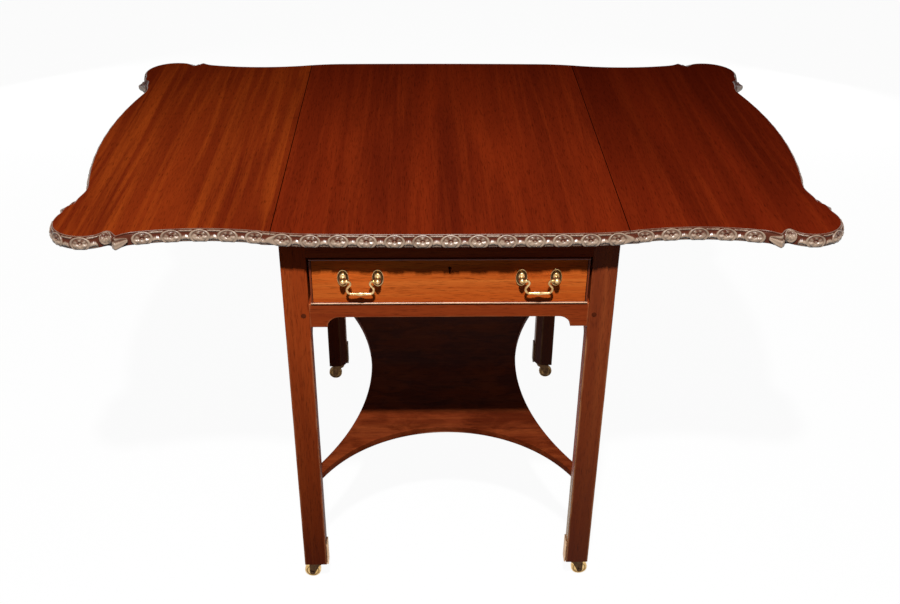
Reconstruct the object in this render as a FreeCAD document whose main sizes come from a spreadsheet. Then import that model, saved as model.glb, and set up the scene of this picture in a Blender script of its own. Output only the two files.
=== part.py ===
import FreeCAD, Part
import math
import os
from types import SimpleNamespace

import Sketcher

# Pembroke table with two drop leaves, one drawer, a hollow-sided shelf and brass casters.
# Millimetres, Z up, origin on the floor under the middle of the table.
# X runs across the leaves, and the drawer opens towards -Y.

# Driving dimensions
SIZES = {
    # Top
    "table_height": 711.0,       # floor to the top surface
    "top_thickness": 20.0,       # centre board and leaves
    "board_half": 253.0,         # middle of the table to a rule joint
    "bow_drop": 8.5,             # front edge falls back this far at the rule joint
    "bow_flat": 190.0,           # half length of the bow's flattest stretch
    "bow_flat_drop": 2.0,        # fall of the edge over that stretch
    "bow_turn_sag": 1.4,         # swell of the stretch that leads to the rule joint
    "nose_drop": 3.0,            # edge falls back this far along the rule joint's nose
    "leaf_width": 318.0,         # rule joint to the bow of the leaf's end
    "leaf_hollow": 12.0,         # depth of the hollow along a leaf's front and back
    # Carved corner of a leaf, measured from the corner of its two bows
    "point_root_in": 119.0,
    "point_root_back": 8.0,
    "point_tip_in": 105.5,
    "point_tip_out": 5.0,
    "notch_in": 93.0,
    "notch_back": 9.0,
    "lobe_in": 17.7,
    "lobe_back": 13.7,
    "end_notch_in": 8.5,
    "end_notch_back": 80.0,
    "end_tip_in": 1.0,
    "end_tip_back": 103.0,
    "end_root_in": 15.0,
    "end_root_back": 123.0,
    "end_hollow_in": 23.0,
    "end_hollow_back": 147.0,
    "end_bow_in": 21.5,
    "end_bow_back": 166.0,
    # Rule joints and their hinges
    "rule_radius": 13.0,         # quarter round on the centre board
    "rule_gap": 0.4,             # running gap of the rule joint
    "pin_rise": 3.0,             # hinge pin above the underside of the top
    "hinge_offset": 200.0,       # middle of the table to a hinge
    "hinge_length": 40.0,
    "hinge_middle": 14.0,        # length of the leaf's knuckle
    "hinge_plate": 2.0,          # thickness of the plates
    "hinge_top_reach": 30.0,     # plate under the centre board
    "hinge_leaf_reach": 48.0,    # plate under the leaf
    "knuckle_radius": 2.9,
    "knuckle_gap": 0.5,          # round a knuckle
    "hinge_pin_radius": 1.5,
    "pin_play": 0.05,            # play of every pin that turns in its hole
    "hinge_screw_radius": 1.5,
    "hinge_screw_head": 3.0,     # radius of the head
    "hinge_screw_head_depth": 1.0,
    "hinge_screw_length": 11.0,
    # Frame
    "overhang": 41.0,            # front bow to the face of the legs
    "hang_gap": 3.0,             # gap between the legs and a lowered leaf
    "leg_side": 38.0,
    "leg_chamfer": 13.0,         # on the inner corner
    "chamfer_stop": 14.0,        # plain length of leg under the frieze brackets
    "caster_height": 42.0,
    "upper_rail_height": 37.0,
    "upper_rail_depth": 40.0,
    "drawer_opening": 79.0,
    "lower_rail_height": 23.0,
    "lower_rail_depth": 50.0,
    "bracket_drop": 17.5,        # shaped ends of the lower rail hang this far down
    "bracket_flat": 26.0,
    "bracket_cove": 18.5,
    "back_rail_thickness": 20.0,
    "back_rail_inset": 2.0,      # back rail behind the faces of the legs
    "side_rail_thickness": 18.0,
    "side_rail_inset": 2.0,      # inner face of a side rail behind the inner face of a leg
    "tenon_thickness": 10.0,
    "tenon_shoulder": 5.0,       # shoulder above and below each tenon
    "side_tenon_length": 14.0,
    "front_tenon_length": 20.0,
    "tenon_setback": 10.0,       # face of the legs to a tenon of the front or back rail
    "peg_radius": 3.75,
    "peg_in": 9.0,               # inner face of a leg to a peg
    "peg_drop": 20.0,            # drawer opening to a front peg
    "back_peg_rise": 68.0,       # bottom of the back rail to a back peg
    "peg_length": 22.5,
    "peg_proud": 0.5,
    # Fly brackets that swing out under the leaves
    "fly_thickness": 17.6,
    "fly_gap": 0.5,
    "fly_end_gap": 1.5,
    "fly_knuckle_y": 95.0,       # middle of the table to the wooden knuckle
    "fly_length": 190.0,         # knuckle to the free end
    "fly_height": 84.0,          # at the knuckle
    "fly_tip_height": 36.0,      # at the free end
    "fly_straight": 45.0,        # straight lower edge beside the knuckle
    "fly_cove_length": 65.0,
    "fly_cove_rise": 43.0,
    "fly_cove_sag": 9.0,
    "fly_knuckle_gap": 0.3,      # between the fingers of the knuckle
    "fly_pin_radius": 2.5,
    "fly_pin_seat": 6.0,         # pin set into the fly rail under the knuckle
    # Shelf between the legs
    "shelf_height": 228.0,       # floor to the upper face
    "shelf_thickness": 13.0,
    "shelf_side_half": 138.0,    # middle of the table to the hollow of a side edge
    "shelf_front_half": 173.0,   # middle of the table to the hollow of the front edge
    "shelf_back_half": 200.0,    # middle of the table to the hollow of the back edge
    "shelf_tongue_width": 12.0,
    "shelf_tongue_length": 9.0,
    # Drawer
    "drawer_gap": 1.0,           # all round the drawer front
    "drawer_play": 0.3,          # drawer sides above the runners
    "drawer_front_thickness": 20.0,
    "drawer_lap": 8.0,           # thickness of the front before the ends of the sides
    "drawer_side_thickness": 10.0,
    "drawer_side_height": 70.0,
    "drawer_length": 555.0,      # sets the depth of the frame and so of the top
    "drawer_back_gap": 63.0,     # drawer to the back rail
    "drawer_back_thickness": 10.0,
    "drawer_back_drop": 5.0,     # back below the top of the sides
    "drawer_bottom_rise": 9.0,   # underside of the bottom above the opening
    "drawer_bottom_thickness": 6.0,
    "drawer_groove": 4.0,
    "bead_thickness": 3.0,
    "bead_proud": 2.5,
    "runner_width": 16.0,
    "runner_height": 14.0,
    "kicker_height": 14.0,
    "kicker_gap": 0.5,
    "stop_width": 40.0,
    "stop_length": 14.0,
    "stop_height": 7.5,
    "stop_offset": 70.0,         # middle of the table to a stop
    "stop_gap": 0.3,
    "block_width": 20.0,         # glue blocks
    "block_length": 40.0,
    "block_offset": 120.0,
    "top_screw_offset": 120.0,
    "top_screw_radius": 2.0,
    "top_screw_head": 4.0,
    "top_screw_head_depth": 2.0,
    "top_screw_sink": 6.0,       # head above the underside of the rail
    "top_screw_bite": 12.0,      # thread in the top
    # Lock
    "keyhole_rise": 61.0,        # drawer opening to the round of the keyhole
    "keyhole_radius": 2.8,
    "keyhole_slot": 2.4,
    "keyhole_drop": 9.5,
    "lock_width": 40.0,
    "lock_height": 36.0,
    "lock_depth": 10.0,
    "lock_top_gap": 6.0,         # opening to the top of the case
    "bolt_width": 16.0,
    "bolt_depth": 4.0,
    "bolt_length": 18.0,
    "bolt_top_gap": 2.0,         # withdrawn bolt below the opening
    "bolt_setback": 3.0,         # drawer front to the bolt
    "bolt_play": 0.3,
    "bolt_throw": 7.0,           # depth of its mortise in the upper rail
    # Handles
    "handle_offset": 131.0,      # middle of the table to a handle
    "handle_rise": 46.0,         # drawer opening to the posts
    "post_half": 25.5,           # middle of a handle to a post
    "post_stem_radius": 2.5,
    "post_collar_radius": 4.2,
    "post_collar_length": 2.5,
    "post_neck_radius": 3.0,
    "post_reach": 11.5,          # drawer front to the bail's axis
    "post_ball_radius": 5.3,
    "rosette_half_width": 8.7,
    "rosette_half_height": 14.0,
    "rosette_thickness": 2.5,
    "nut_radius": 5.0,
    "nut_thickness": 4.0,
    "bail_radius": 2.2,
    "bail_end": 1.0,             # end of the bail past the middle of its post
    "bail_hole_past": 3.0,       # hole past the middle of the post
    "bail_loop_in": 8.0,         # post to the start of the neck's bend
    "bail_loop": 5.0,            # radius of that bend
    "bail_run": 5.0,             # straight run of the neck
    "bail_bend": 6.5,            # radius of the lower corner
    # Casters
    "caster_plate_radius": 16.5,
    "caster_plate_thickness": 3.0,
    "pintle_radius": 4.0,
    "pintle_length": 9.5,
    "horn_radius": 11.5,
    "horn_height": 8.0,
    "horn_gap": 0.3,             # under the plate
    "cheek_thickness": 2.6,
    "cheek_gap": 0.6,            # beside the wheel
    "cheek_width": 10.0,
    "caster_trail": 8.0,
    "wheel_radius": 14.0,
    "wheel_width": 13.0,
    "wheel_round": 1.2,          # fall of the tread at the wheel's edges
    "axle_radius": 2.5,
    "axle_proud": 1.0,
    "caster_screw_radius": 1.5,
    "caster_screw_head": 2.4,
    "caster_screw_ring": 13.8,
    "caster_screw_length": 14.0,
}
KNUCKLE_FINGERS = 5
CASTER_SCREWS = 3
NECK_TURN = math.radians(40.0)
DIAGONAL = math.sqrt(0.5)

doc = FreeCAD.newDocument("pembroke_table")
sheet = doc.addObject("Spreadsheet::Sheet", "Sizes")
nodes = {}


class Length:
    """A size: its present value and the formula that ties it to the sheet."""

    def __init__(self, value, formula):
        self.value = value
        self.formula = formula

    def joined(self, sign, other, value):
        return Length(value, f"({self.formula} {sign} {length(other).formula})")

    def __add__(self, other):
        return self.joined("+", other, self.value + length(other).value)

    def __sub__(self, other):
        return self.joined("-", other, self.value - length(other).value)

    def __mul__(self, other):
        return self.joined("*", other, self.value * length(other).value)

    def __truediv__(self, other):
        return self.joined("/", other, self.value / length(other).value)

    def __neg__(self):
        return Length(-self.value, f"(-{self.formula})")

    def root(self):
        return Length(math.sqrt(self.value), f"sqrt({self.formula})")


def length(amount):
    """Any number as a Length."""
    if isinstance(amount, Length):
        return amount
    return Length(float(amount), f"({float(amount):.9f})")


size = SimpleNamespace()
for row, (name, value) in enumerate(SIZES.items(), start=1):
    sheet.set(f"A{row}", name)
    sheet.set(f"B{row}", str(value))
    sheet.setAlias(f"B{row}", name)
    setattr(size, name, Length(value, f"Sizes.{name}"))
doc.recompute()
ZERO = length(0.0)


# How pieces are made

def bind(thing, prop, amount):
    """Tie one property of a document object to the sheet."""
    thing.setExpression(prop, length(amount).formula)


def keep(piece):
    """List a finished piece under its label, which names its file."""
    nodes[piece.Label] = piece
    return piece


def block(name, x, y, z):
    """A box between two limits along each axis."""
    box = doc.addObject("Part::Box", name)
    for prop, axis, (low, high) in zip(("Length", "Width", "Height"), "xyz", (x, y, z)):
        bind(box, prop, length(high) - low)
        bind(box, f"Placement.Base.{axis}", low)
    return box


TURNS = {
    "x": FreeCAD.Rotation(FreeCAD.Vector(0, 1, 0), 90),
    "y": FreeCAD.Rotation(FreeCAD.Vector(1, 0, 0), -90),
    "z": FreeCAD.Rotation(),
}


def rod(name, axis, radius, start, reach):
    """A cylinder that runs from a point towards +X, +Y or +Z."""
    cylinder = doc.addObject("Part::Cylinder", name)
    cylinder.Placement = FreeCAD.Placement(FreeCAD.Vector(), TURNS[axis])
    bind(cylinder, "Radius", radius)
    bind(cylinder, "Height", reach)
    for letter, amount in zip("xyz", start):
        bind(cylinder, f"Placement.Base.{letter}", amount)
    return cylinder


def cut(name, base, tools):
    """One piece less the others."""
    tool = tools[0]
    if len(tools) > 1:
        tool = doc.addObject("Part::MultiFuse", f"{name}_cutters")
        tool.Shapes = tools
    piece = doc.addObject("Part::Cut", name)
    piece.Base = base
    piece.Tool = tool
    return piece


def fuse(name, pieces):
    """Several shapes as one solid piece."""
    piece = doc.addObject("Part::MultiFuse", name)
    piece.Shapes = pieces
    return piece


def group(name, pieces):
    """Like pieces that share a node, each still a solid of its own."""
    bundle = doc.addObject("Part::Compound", name)
    bundle.Links = pieces
    return keep(bundle)


def vector(point):
    return FreeCAD.Vector(length(point[0]).value, length(point[1]).value, 0)


def hold(sketch, geometry, end, point):
    """Fix one point of a sketch by its two distances from the sketch's origin."""
    for kind, amount in zip(("DistanceX", "DistanceY"), point):
        amount = length(amount)
        rule = Sketcher.Constraint(kind, -1, 1, geometry, end, amount.value)
        sketch.setExpression(f"Constraints[{sketch.addConstraint(rule)}]", amount.formula)


def draw(sketch, start, *steps, closed=True):
    """Draw a profile of lines (to a point) and arcs (through a point, to a point)."""
    corners = [start]
    middles = []
    for step in steps:
        is_arc = isinstance(step[0], tuple)
        middles.append(step[0] if is_arc else None)
        corners.append(step[1] if is_arc else step)
    if closed:
        middles.append(None)
        corners.append(start)
    edges = []
    for first, middle, last in zip(corners, middles, corners[1:]):
        if middle is None:
            edge = sketch.addGeometry(Part.LineSegment(vector(first), vector(last)))
        else:
            edge = sketch.addGeometry(Part.Arc(vector(first), vector(middle), vector(last)))
            mark = sketch.addGeometry(Part.Point(vector(middle)), True)
            hold(sketch, mark, 1, middle)
            sketch.addConstraint(Sketcher.Constraint("PointOnObject", mark, 1, edge))
        forward = (sketch.getPoint(edge, 1) - vector(first)).Length < 1e-6
        head, tail = (1, 2) if forward else (2, 1)
        hold(sketch, edge, head, first)
        edges.append((edge, head, tail))
    for (edge, head, tail), (after, after_head, _) in zip(edges, edges[1:]):
        sketch.addConstraint(Sketcher.Constraint("Coincident", edge, tail, after, after_head))
    edge, head, tail = edges[-1]
    if closed:
        sketch.addConstraint(Sketcher.Constraint("Coincident", edge, tail, edges[0][0], edges[0][1]))
    else:
        hold(sketch, edge, tail, corners[-1])


def sketch_on(body, plane, base):
    """A sketch on one of the body's own planes, moved along the plane's axes."""
    sketch = body.newObject("Sketcher::SketchObject", f"{body.Name}_sketch")
    support = next(item for item in body.Origin.OriginFeatures if item.Role == plane)
    sketch.AttachmentSupport = [(support, "")]
    sketch.MapMode = "FlatFace"
    for letter, amount in zip("xyz", base):
        bind(sketch, f"AttachmentOffset.Base.{letter}", amount)
    return sketch


def facing(plane, level):
    """Height of a level above a plane: the XZ plane faces -Y."""
    return -length(level) if plane == "XZ_Plane" else length(level)


def pad(body, plane, low, high, *profile):
    """Add a prism between two levels."""
    sketch = sketch_on(body, plane, (ZERO, ZERO, facing(plane, high if plane == "XZ_Plane" else low)))
    draw(sketch, *profile)
    feature = body.newObject("PartDesign::Pad", f"{body.Name}_pad")
    feature.Profile = sketch
    bind(feature, "Length", length(high) - low)
    return feature


def pocket(body, plane, low, high, *profile):
    """Cut a prism between two levels."""
    sketch = sketch_on(body, plane, (ZERO, ZERO, facing(plane, low if plane == "XZ_Plane" else high)))
    draw(sketch, *profile)
    feature = body.newObject("PartDesign::Pocket", f"{body.Name}_pocket")
    feature.Profile = sketch
    bind(feature, "Length", length(high) - low)
    return feature


def turned(name, plane, base, *profile):
    """A turned piece: a profile of (radius, distance along the axis) spun about its upright axis."""
    body = doc.addObject("PartDesign::Body", name)
    sketch = sketch_on(body, plane, base)
    draw(sketch, *profile)
    feature = body.newObject("PartDesign::Revolution", f"{name}_turning")
    feature.Profile = sketch
    feature.ReferenceAxis = (sketch, ["V_Axis"])
    feature.Angle = 360.0
    return body


def rectangle(x, y):
    """The four corners of a rectangle between two limits each way."""
    return (x[0], y[0]), (x[1], y[0]), (x[1], y[1]), (x[0], y[1])


def across(side, near, far):
    """Limits from near to far on one side of the middle."""
    if side > 0:
        return length(near), length(far)
    return -length(far), -length(near)


SIDES = {"left": -1, "right": 1}
ENDS = {"front": -1, "back": 1}
CORNERS = [
    (f"{end}_{side}", SIDES[side], ENDS[end])
    for end in ENDS
    for side in SIDES
]

# Levels and faces that several pieces share
top_z = size.table_height
under_z = top_z - size.top_thickness
pin_x = size.board_half
pin_z = under_z + size.pin_rise
frame_x = pin_x - size.pin_rise - size.hang_gap
back_rail_room = size.back_rail_thickness + size.back_rail_inset
frame_y = (size.drawer_length + size.drawer_back_gap + back_rail_room) / 2
bow_y = frame_y + size.overhang
leg_in_x = frame_x - size.leg_side
leg_in_y = frame_y - size.leg_side
leg_mid_x = frame_x - size.leg_side / 2
leg_mid_y = frame_y - size.leg_side / 2
opening_top = under_z - size.upper_rail_height
opening_low = opening_top - size.drawer_opening
rail_low = opening_low - size.lower_rail_height
bracket_low = rail_low - size.bracket_drop
side_rail_in = leg_in_x + size.side_rail_inset
side_rail_out = side_rail_in + size.side_rail_thickness


# Rule-joint hinges: two under each leaf, let into the undersides

knuckle_room = size.knuckle_radius + size.knuckle_gap
SCREW_PLACES = ((0.45, -1), (0.45, 1), (0.8, 0))


def plate_screws(name, axis_x, middle_y, reach):
    """Three screws in a hinge plate, with their heads flush in it."""
    screws = []
    for number, (share, offset) in enumerate(SCREW_PLACES):
        place = (axis_x + reach * share, middle_y + size.hinge_length / 4 * offset, under_z)
        head = rod(f"{name}_{number}_head", "z", size.hinge_screw_head, place,
                   size.hinge_screw_head_depth)
        shank = rod(f"{name}_{number}_shank", "z", size.hinge_screw_radius, place,
                    size.hinge_screw_length)
        screws.append(fuse(f"{name}_{number}", [head, shank]))
    return screws


middle_half = size.hinge_middle / 2
hinge_half = size.hinge_length / 2
top_plates = []
hinge_pins = []
top_hinge_screws = []
board_cutters = []
leaf_cutters = {}
for side_name, side in SIDES.items():
    leaf_plates = []
    leaf_screws = []
    leaf_cutters[side_name] = []
    for end_name, end in ENDS.items():
        place = f"{side_name}_{end_name}"
        middle_y = size.hinge_offset * end
        whole = (middle_y - hinge_half, middle_y + hinge_half)
        inner = (middle_y - middle_half, middle_y + middle_half)
        outer_low = (whole[0], inner[0])
        outer_high = (inner[1], whole[1])
        inner_clear = (inner[0] + size.pin_play, inner[1] - size.pin_play)
        plate_z = (under_z, under_z + size.hinge_plate)
        axis_x = pin_x * side
        bore = rod(f"hinge_bore_{place}", "y", size.hinge_pin_radius, (axis_x, whole[0], pin_z),
                   size.hinge_length)
        loose_bore = rod(f"hinge_loose_bore_{place}", "y", size.hinge_pin_radius + size.pin_play,
                         (axis_x, whole[0], pin_z), size.hinge_length)
        hinge_pins.append(rod(f"hinge_pin_{place}", "y", size.hinge_pin_radius,
                              (axis_x, whole[0], pin_z), size.hinge_length))

        top_screws = plate_screws(f"hinge_top_screw_{place}", axis_x, middle_y,
                                  size.hinge_top_reach * -side)
        top_hinge_screws += top_screws
        top_leaf = block(f"hinge_top_leaf_{place}",
                         across(side, pin_x - size.hinge_top_reach, pin_x), whole, plate_z)
        top_notch = block(f"hinge_top_notch_{place}",
                          across(side, pin_x - knuckle_room, pin_x + knuckle_room), inner,
                          (under_z - size.hinge_plate, pin_z + size.knuckle_radius))
        top_bands = [
            rod(f"hinge_top_band_{place}_{number}", "y", size.knuckle_radius,
                (axis_x, band[0], pin_z), band[1] - band[0])
            for number, band in enumerate((outer_low, outer_high))
        ]
        solid = fuse(f"hinge_top_solid_{place}", [top_leaf] + top_bands)
        top_plates.append(cut(f"hinge_top_plate_{place}", solid, [top_notch, bore] + top_screws))

        screws = plate_screws(f"hinge_leaf_screw_{place}", axis_x, middle_y,
                              size.hinge_leaf_reach * side)
        leaf_screws += screws
        leaf_leaf = block(f"hinge_leaf_leaf_{place}",
                          across(side, pin_x, pin_x + size.hinge_leaf_reach), whole, plate_z)
        leaf_notches = [
            block(f"hinge_leaf_notch_{place}_{number}",
                  across(side, pin_x - knuckle_room, pin_x + knuckle_room), band,
                  (under_z - size.hinge_plate, pin_z + size.knuckle_radius))
            for number, band in enumerate((
                (outer_low[0], inner_clear[0]),
                (inner_clear[1], outer_high[1]),
            ))
        ]
        leaf_band = rod(f"hinge_leaf_band_{place}", "y", size.knuckle_radius,
                        (axis_x, inner_clear[0], pin_z), inner_clear[1] - inner_clear[0])
        trimmed = cut(f"hinge_leaf_trimmed_{place}", leaf_leaf, leaf_notches)
        solid = fuse(f"hinge_leaf_solid_{place}", [trimmed, leaf_band])
        leaf_plates.append(cut(f"hinge_leaf_plate_{place}", solid, [loose_bore] + screws))

        # Recesses for this hinge in the centre board and in the leaf
        seat = across(side, pin_x - size.hinge_top_reach, pin_x)
        board_cutters.append(block(f"hinge_board_seat_{place}", seat, whole, plate_z))
        well = across(side, pin_x - knuckle_room, pin_x + size.rule_radius + size.rule_gap)
        board_cutters.append(block(
            f"hinge_board_well_{place}", well,
            (whole[0] - size.rule_gap, whole[1] + size.rule_gap),
            (under_z, pin_z + knuckle_room)))
        board_cutters += top_screws
        seat = across(side, pin_x, pin_x + size.hinge_leaf_reach)
        leaf_cutters[side_name].append(block(f"hinge_leaf_seat_{place}", seat, whole, plate_z))
        leaf_cutters[side_name] += screws
    group(f"hinge_leaf_plates_{side_name}", leaf_plates)
    group(f"hinge_leaf_screws_{side_name}", leaf_screws)
group("hinge_top_plates", top_plates)
group("hinge_top_screws", top_hinge_screws)
group("hinge_pins", hinge_pins)


# Screws up through the upper drawer rail into the top

rail_screw_y = -(frame_y - size.upper_rail_depth / 2)
rail_screws = []
rail_screw_wells = []
for number, place in enumerate((-1, 0, 1)):
    x = size.top_screw_offset * place
    seat = opening_top + size.top_screw_sink
    rail_screw_wells.append(rod(f"top_screw_well_{number}", "z", size.top_screw_head,
                                (x, rail_screw_y, opening_top), size.top_screw_sink))
    head = rod(f"top_screw_head_{number}", "z", size.top_screw_head,
               (x, rail_screw_y, seat), size.top_screw_head_depth)
    shank = rod(f"top_screw_shank_{number}", "z", size.top_screw_radius,
                (x, rail_screw_y, seat), under_z + size.top_screw_bite - seat)
    rail_screws.append(fuse(f"top_screw_{number}", [head, shank]))
group("top_screws", rail_screws)


# Centre board: bowed at front and back, with the rounded half of a rule joint on each side

board_edge = bow_y - size.bow_drop
flat_edge = bow_y - size.bow_flat_drop
nose_x = pin_x + size.rule_radius
nose_edge = board_edge - size.nose_drop
turn_x = (pin_x + size.bow_flat) / 2
turn_y = (board_edge + flat_edge) / 2 + size.bow_turn_sag
board = doc.addObject("PartDesign::Body", "top_board_blank")
pad(board, "XY_Plane", under_z, top_z,
    (-nose_x, -nose_edge),
    (-pin_x, -board_edge),
    ((-turn_x, -turn_y), (-size.bow_flat, -flat_edge)),
    ((ZERO, -bow_y), (size.bow_flat, -flat_edge)),
    ((turn_x, -turn_y), (pin_x, -board_edge)),
    (nose_x, -nose_edge),
    (nose_x, nose_edge),
    (pin_x, board_edge),
    ((turn_x, turn_y), (size.bow_flat, flat_edge)),
    ((ZERO, bow_y), (-size.bow_flat, flat_edge)),
    ((-turn_x, turn_y), (-pin_x, board_edge)),
    (-nose_x, nose_edge))
joint_face = pin_x - size.rule_gap / 2
nose_low = pin_x + (size.rule_radius * size.rule_radius - size.pin_rise * size.pin_rise).root()
nose_mid = size.rule_radius * DIAGONAL
past_nose = nose_x + size.rule_radius
for side in SIDES.values():
    pocket(board, "XZ_Plane", -bow_y, bow_y,
           (joint_face * side, top_z + size.rule_gap),
           (joint_face * side, pin_z + size.rule_radius),
           (pin_x * side, pin_z + size.rule_radius),
           (((pin_x + nose_mid) * side, pin_z + nose_mid), (nose_low * side, under_z)),
           (nose_low * side, under_z - size.rule_gap),
           (past_nose * side, under_z - size.rule_gap),
           (past_nose * side, top_z + size.rule_gap))
keep(cut("top_board", board, board_cutters + rail_screws))


# Leaves: hollow front and back edges, lobed corners between leaf points, and a bowed end

corner_x = pin_x + size.leaf_width
corner_y = bow_y
leaf_start = pin_x + size.rule_gap / 2
root_x = corner_x - size.point_root_in
root_y = corner_y - size.point_root_back
hollow_x = (leaf_start + root_x) / 2
hollow_y = (board_edge + root_y) / 2 - size.leaf_hollow
half_leaf = [
    ((hollow_x, hollow_y), (root_x, root_y)),
    (corner_x - size.point_tip_in, corner_y + size.point_tip_out),
    (corner_x - size.notch_in, corner_y - size.notch_back),
    ((corner_x - size.lobe_in, corner_y - size.lobe_back),
     (corner_x - size.end_notch_in, corner_y - size.end_notch_back)),
    (corner_x - size.end_tip_in, corner_y - size.end_tip_back),
    (corner_x - size.end_root_in, corner_y - size.end_root_back),
    ((corner_x - size.end_hollow_in, corner_y - size.end_hollow_back),
     (corner_x - size.end_bow_in, corner_y - size.end_bow_back)),
]


def mirrored(steps, start, side, end):
    """One end's steps turned about: from the leaf's bow back to the rule joint."""
    points = [start] + [step[1] if isinstance(step[0], tuple) else step for step in steps]
    turned_steps = []
    for step, before in zip(reversed(steps), reversed(points[:-1])):
        if isinstance(step[0], tuple):
            turned_steps.append((placed(step[0], side, end), placed(before, side, end)))
        else:
            turned_steps.append(placed(before, side, end))
    return turned_steps


def placed(step, side, end):
    """A point, or an arc's two points, on one side and at one end of the table."""
    if isinstance(step[0], tuple):
        return tuple(placed(point, side, end) for point in step)
    return step[0] * side, step[1] * end


leaf_corner = (leaf_start, board_edge)
cove_radius = size.rule_radius + size.rule_gap
for side_name, side in SIDES.items():
    leaf = doc.addObject("PartDesign::Body", f"leaf_{side_name}_blank")
    bow_end = (corner_x - size.end_bow_in, corner_y - size.end_bow_back)
    pad(leaf, "XY_Plane", under_z, top_z,
        placed(leaf_corner, side, -1),
        *[placed(step, side, -1) for step in half_leaf],
        ((corner_x * side, ZERO), placed(bow_end, side, 1)),
        *mirrored(half_leaf, leaf_corner, side, 1))
    cove = rod(f"leaf_{side_name}_cove", "y", cove_radius,
               (pin_x * side, -bow_y, pin_z), bow_y * 2)
    keep(cut(f"leaf_{side_name}", leaf, [cove] + leaf_cutters[side_name]))


# Rails: tenoned into the legs, the side rails behind the fly brackets

front_tenon_y = (-(frame_y - size.tenon_setback),
                 -(frame_y - size.tenon_setback - size.tenon_thickness))
back_tenon_y = (frame_y - size.tenon_setback - size.tenon_thickness, frame_y - size.tenon_setback)
side_tenon_x = (side_rail_in + (size.side_rail_thickness - size.tenon_thickness) / 2,
                side_rail_in + (size.side_rail_thickness + size.tenon_thickness) / 2)
front_tenon_x = leg_in_x + size.front_tenon_length
side_tenon_y = leg_in_y + size.side_tenon_length


def tenon_limits(low, high):
    return low + size.tenon_shoulder, high - size.tenon_shoulder


upper_tenon_z = tenon_limits(opening_top, under_z)
lower_tenon_z = tenon_limits(bracket_low, opening_low)
deep_tenon_z = tenon_limits(rail_low, under_z)

# Pegs through the tenons of the lower drawer rail and the back rail
peg_x = leg_in_x + size.peg_in
pegs = []
for side_name, side in SIDES.items():
    pegs.append(rod(f"peg_front_{side_name}", "y", size.peg_radius,
                    (peg_x * side, -(frame_y + size.peg_proud), opening_low - size.peg_drop),
                    size.peg_length))
    pegs.append(rod(f"peg_back_{side_name}", "y", size.peg_radius,
                    (peg_x * side, frame_y + size.peg_proud - size.peg_length,
                     rail_low + size.back_peg_rise),
                    size.peg_length))
group("joint_pegs", pegs)

upper_rail = fuse("upper_rail_blank", [
    block("upper_rail_bar", (-leg_in_x, leg_in_x),
          (-frame_y, -(frame_y - size.upper_rail_depth)), (opening_top, under_z)),
    block("upper_rail_tenons", (-front_tenon_x, front_tenon_x), front_tenon_y, upper_tenon_z),
])
bolt_mid_y = -(frame_y - size.drawer_front_thickness - size.bolt_setback - size.bolt_depth / 2)
bolt_half_x = size.bolt_width / 2
bolt_half_y = size.bolt_depth / 2
bolt_mortise = block(
    "bolt_mortise",
    (-(bolt_half_x + size.bolt_play), bolt_half_x + size.bolt_play),
    (bolt_mid_y - bolt_half_y - size.bolt_play, bolt_mid_y + bolt_half_y + size.bolt_play),
    (opening_top, opening_top + size.bolt_throw))
keep(cut("drawer_rail_upper", upper_rail, [bolt_mortise] + rail_screw_wells + rail_screws))

lower_rail = doc.addObject("PartDesign::Body", "lower_rail_bar")
flat_end = leg_in_x - size.bracket_flat
cove_end = flat_end - size.bracket_cove
cove_mid_x = flat_end - size.bracket_cove * (1 - DIAGONAL)
cove_mid_z = rail_low - size.bracket_drop * (1 - DIAGONAL)
pad(lower_rail, "XZ_Plane", -frame_y, -(frame_y - size.lower_rail_depth),
    (-leg_in_x, opening_low),
    (-leg_in_x, bracket_low),
    (-flat_end, bracket_low),
    ((-cove_mid_x, cove_mid_z), (-cove_end, rail_low)),
    (cove_end, rail_low),
    ((cove_mid_x, cove_mid_z), (flat_end, bracket_low)),
    (leg_in_x, bracket_low),
    (leg_in_x, opening_low))
lower_blank = fuse("lower_rail_blank", [
    lower_rail,
    block("lower_rail_tenon_left", (-front_tenon_x, -(leg_in_x - size.tenon_shoulder)),
          front_tenon_y, lower_tenon_z),
    block("lower_rail_tenon_right", (leg_in_x - size.tenon_shoulder, front_tenon_x),
          front_tenon_y, lower_tenon_z),
])
keep(cut("drawer_rail_lower", lower_blank, pegs))

back_face = frame_y - size.back_rail_inset
back_rail_front = frame_y - back_rail_room
back_blank = fuse("back_rail_blank", [
    block("back_rail_bar", (-leg_in_x, leg_in_x), (back_rail_front, back_face), (rail_low, under_z)),
    block("back_rail_tenons", (-front_tenon_x, front_tenon_x), back_tenon_y, deep_tenon_z),
])
keep(cut("back_rail", back_blank, pegs))

for side_name, side in SIDES.items():
    keep(fuse(f"side_rail_{side_name}", [
        block(f"side_rail_bar_{side_name}", across(side, side_rail_in, side_rail_out),
              (-leg_in_y, leg_in_y), (rail_low, under_z)),
        block(f"side_rail_tenons_{side_name}", across(side, *side_tenon_x),
              (-side_tenon_y, side_tenon_y), deep_tenon_z),
    ]))


# Shelf: one board with four hollow sides, its corners housed in the chamfers of the legs

shelf_low = size.shelf_height - size.shelf_thickness
chamfer_x = leg_in_x + size.leg_chamfer
chamfer_y = leg_in_y + size.leg_chamfer
tongue_x = leg_in_x + size.leg_chamfer / 2
tongue_y = leg_in_y + size.leg_chamfer / 2
tongue_half = size.shelf_tongue_width * (DIAGONAL / 2)
tongue_reach = size.shelf_tongue_length * DIAGONAL
tongue = [
    (tongue_x + tongue_half, tongue_y - tongue_half),
    (tongue_x + tongue_half + tongue_reach, tongue_y - tongue_half + tongue_reach),
    (tongue_x - tongue_half + tongue_reach, tongue_y + tongue_half + tongue_reach),
    (tongue_x - tongue_half, tongue_y + tongue_half),
]


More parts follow.
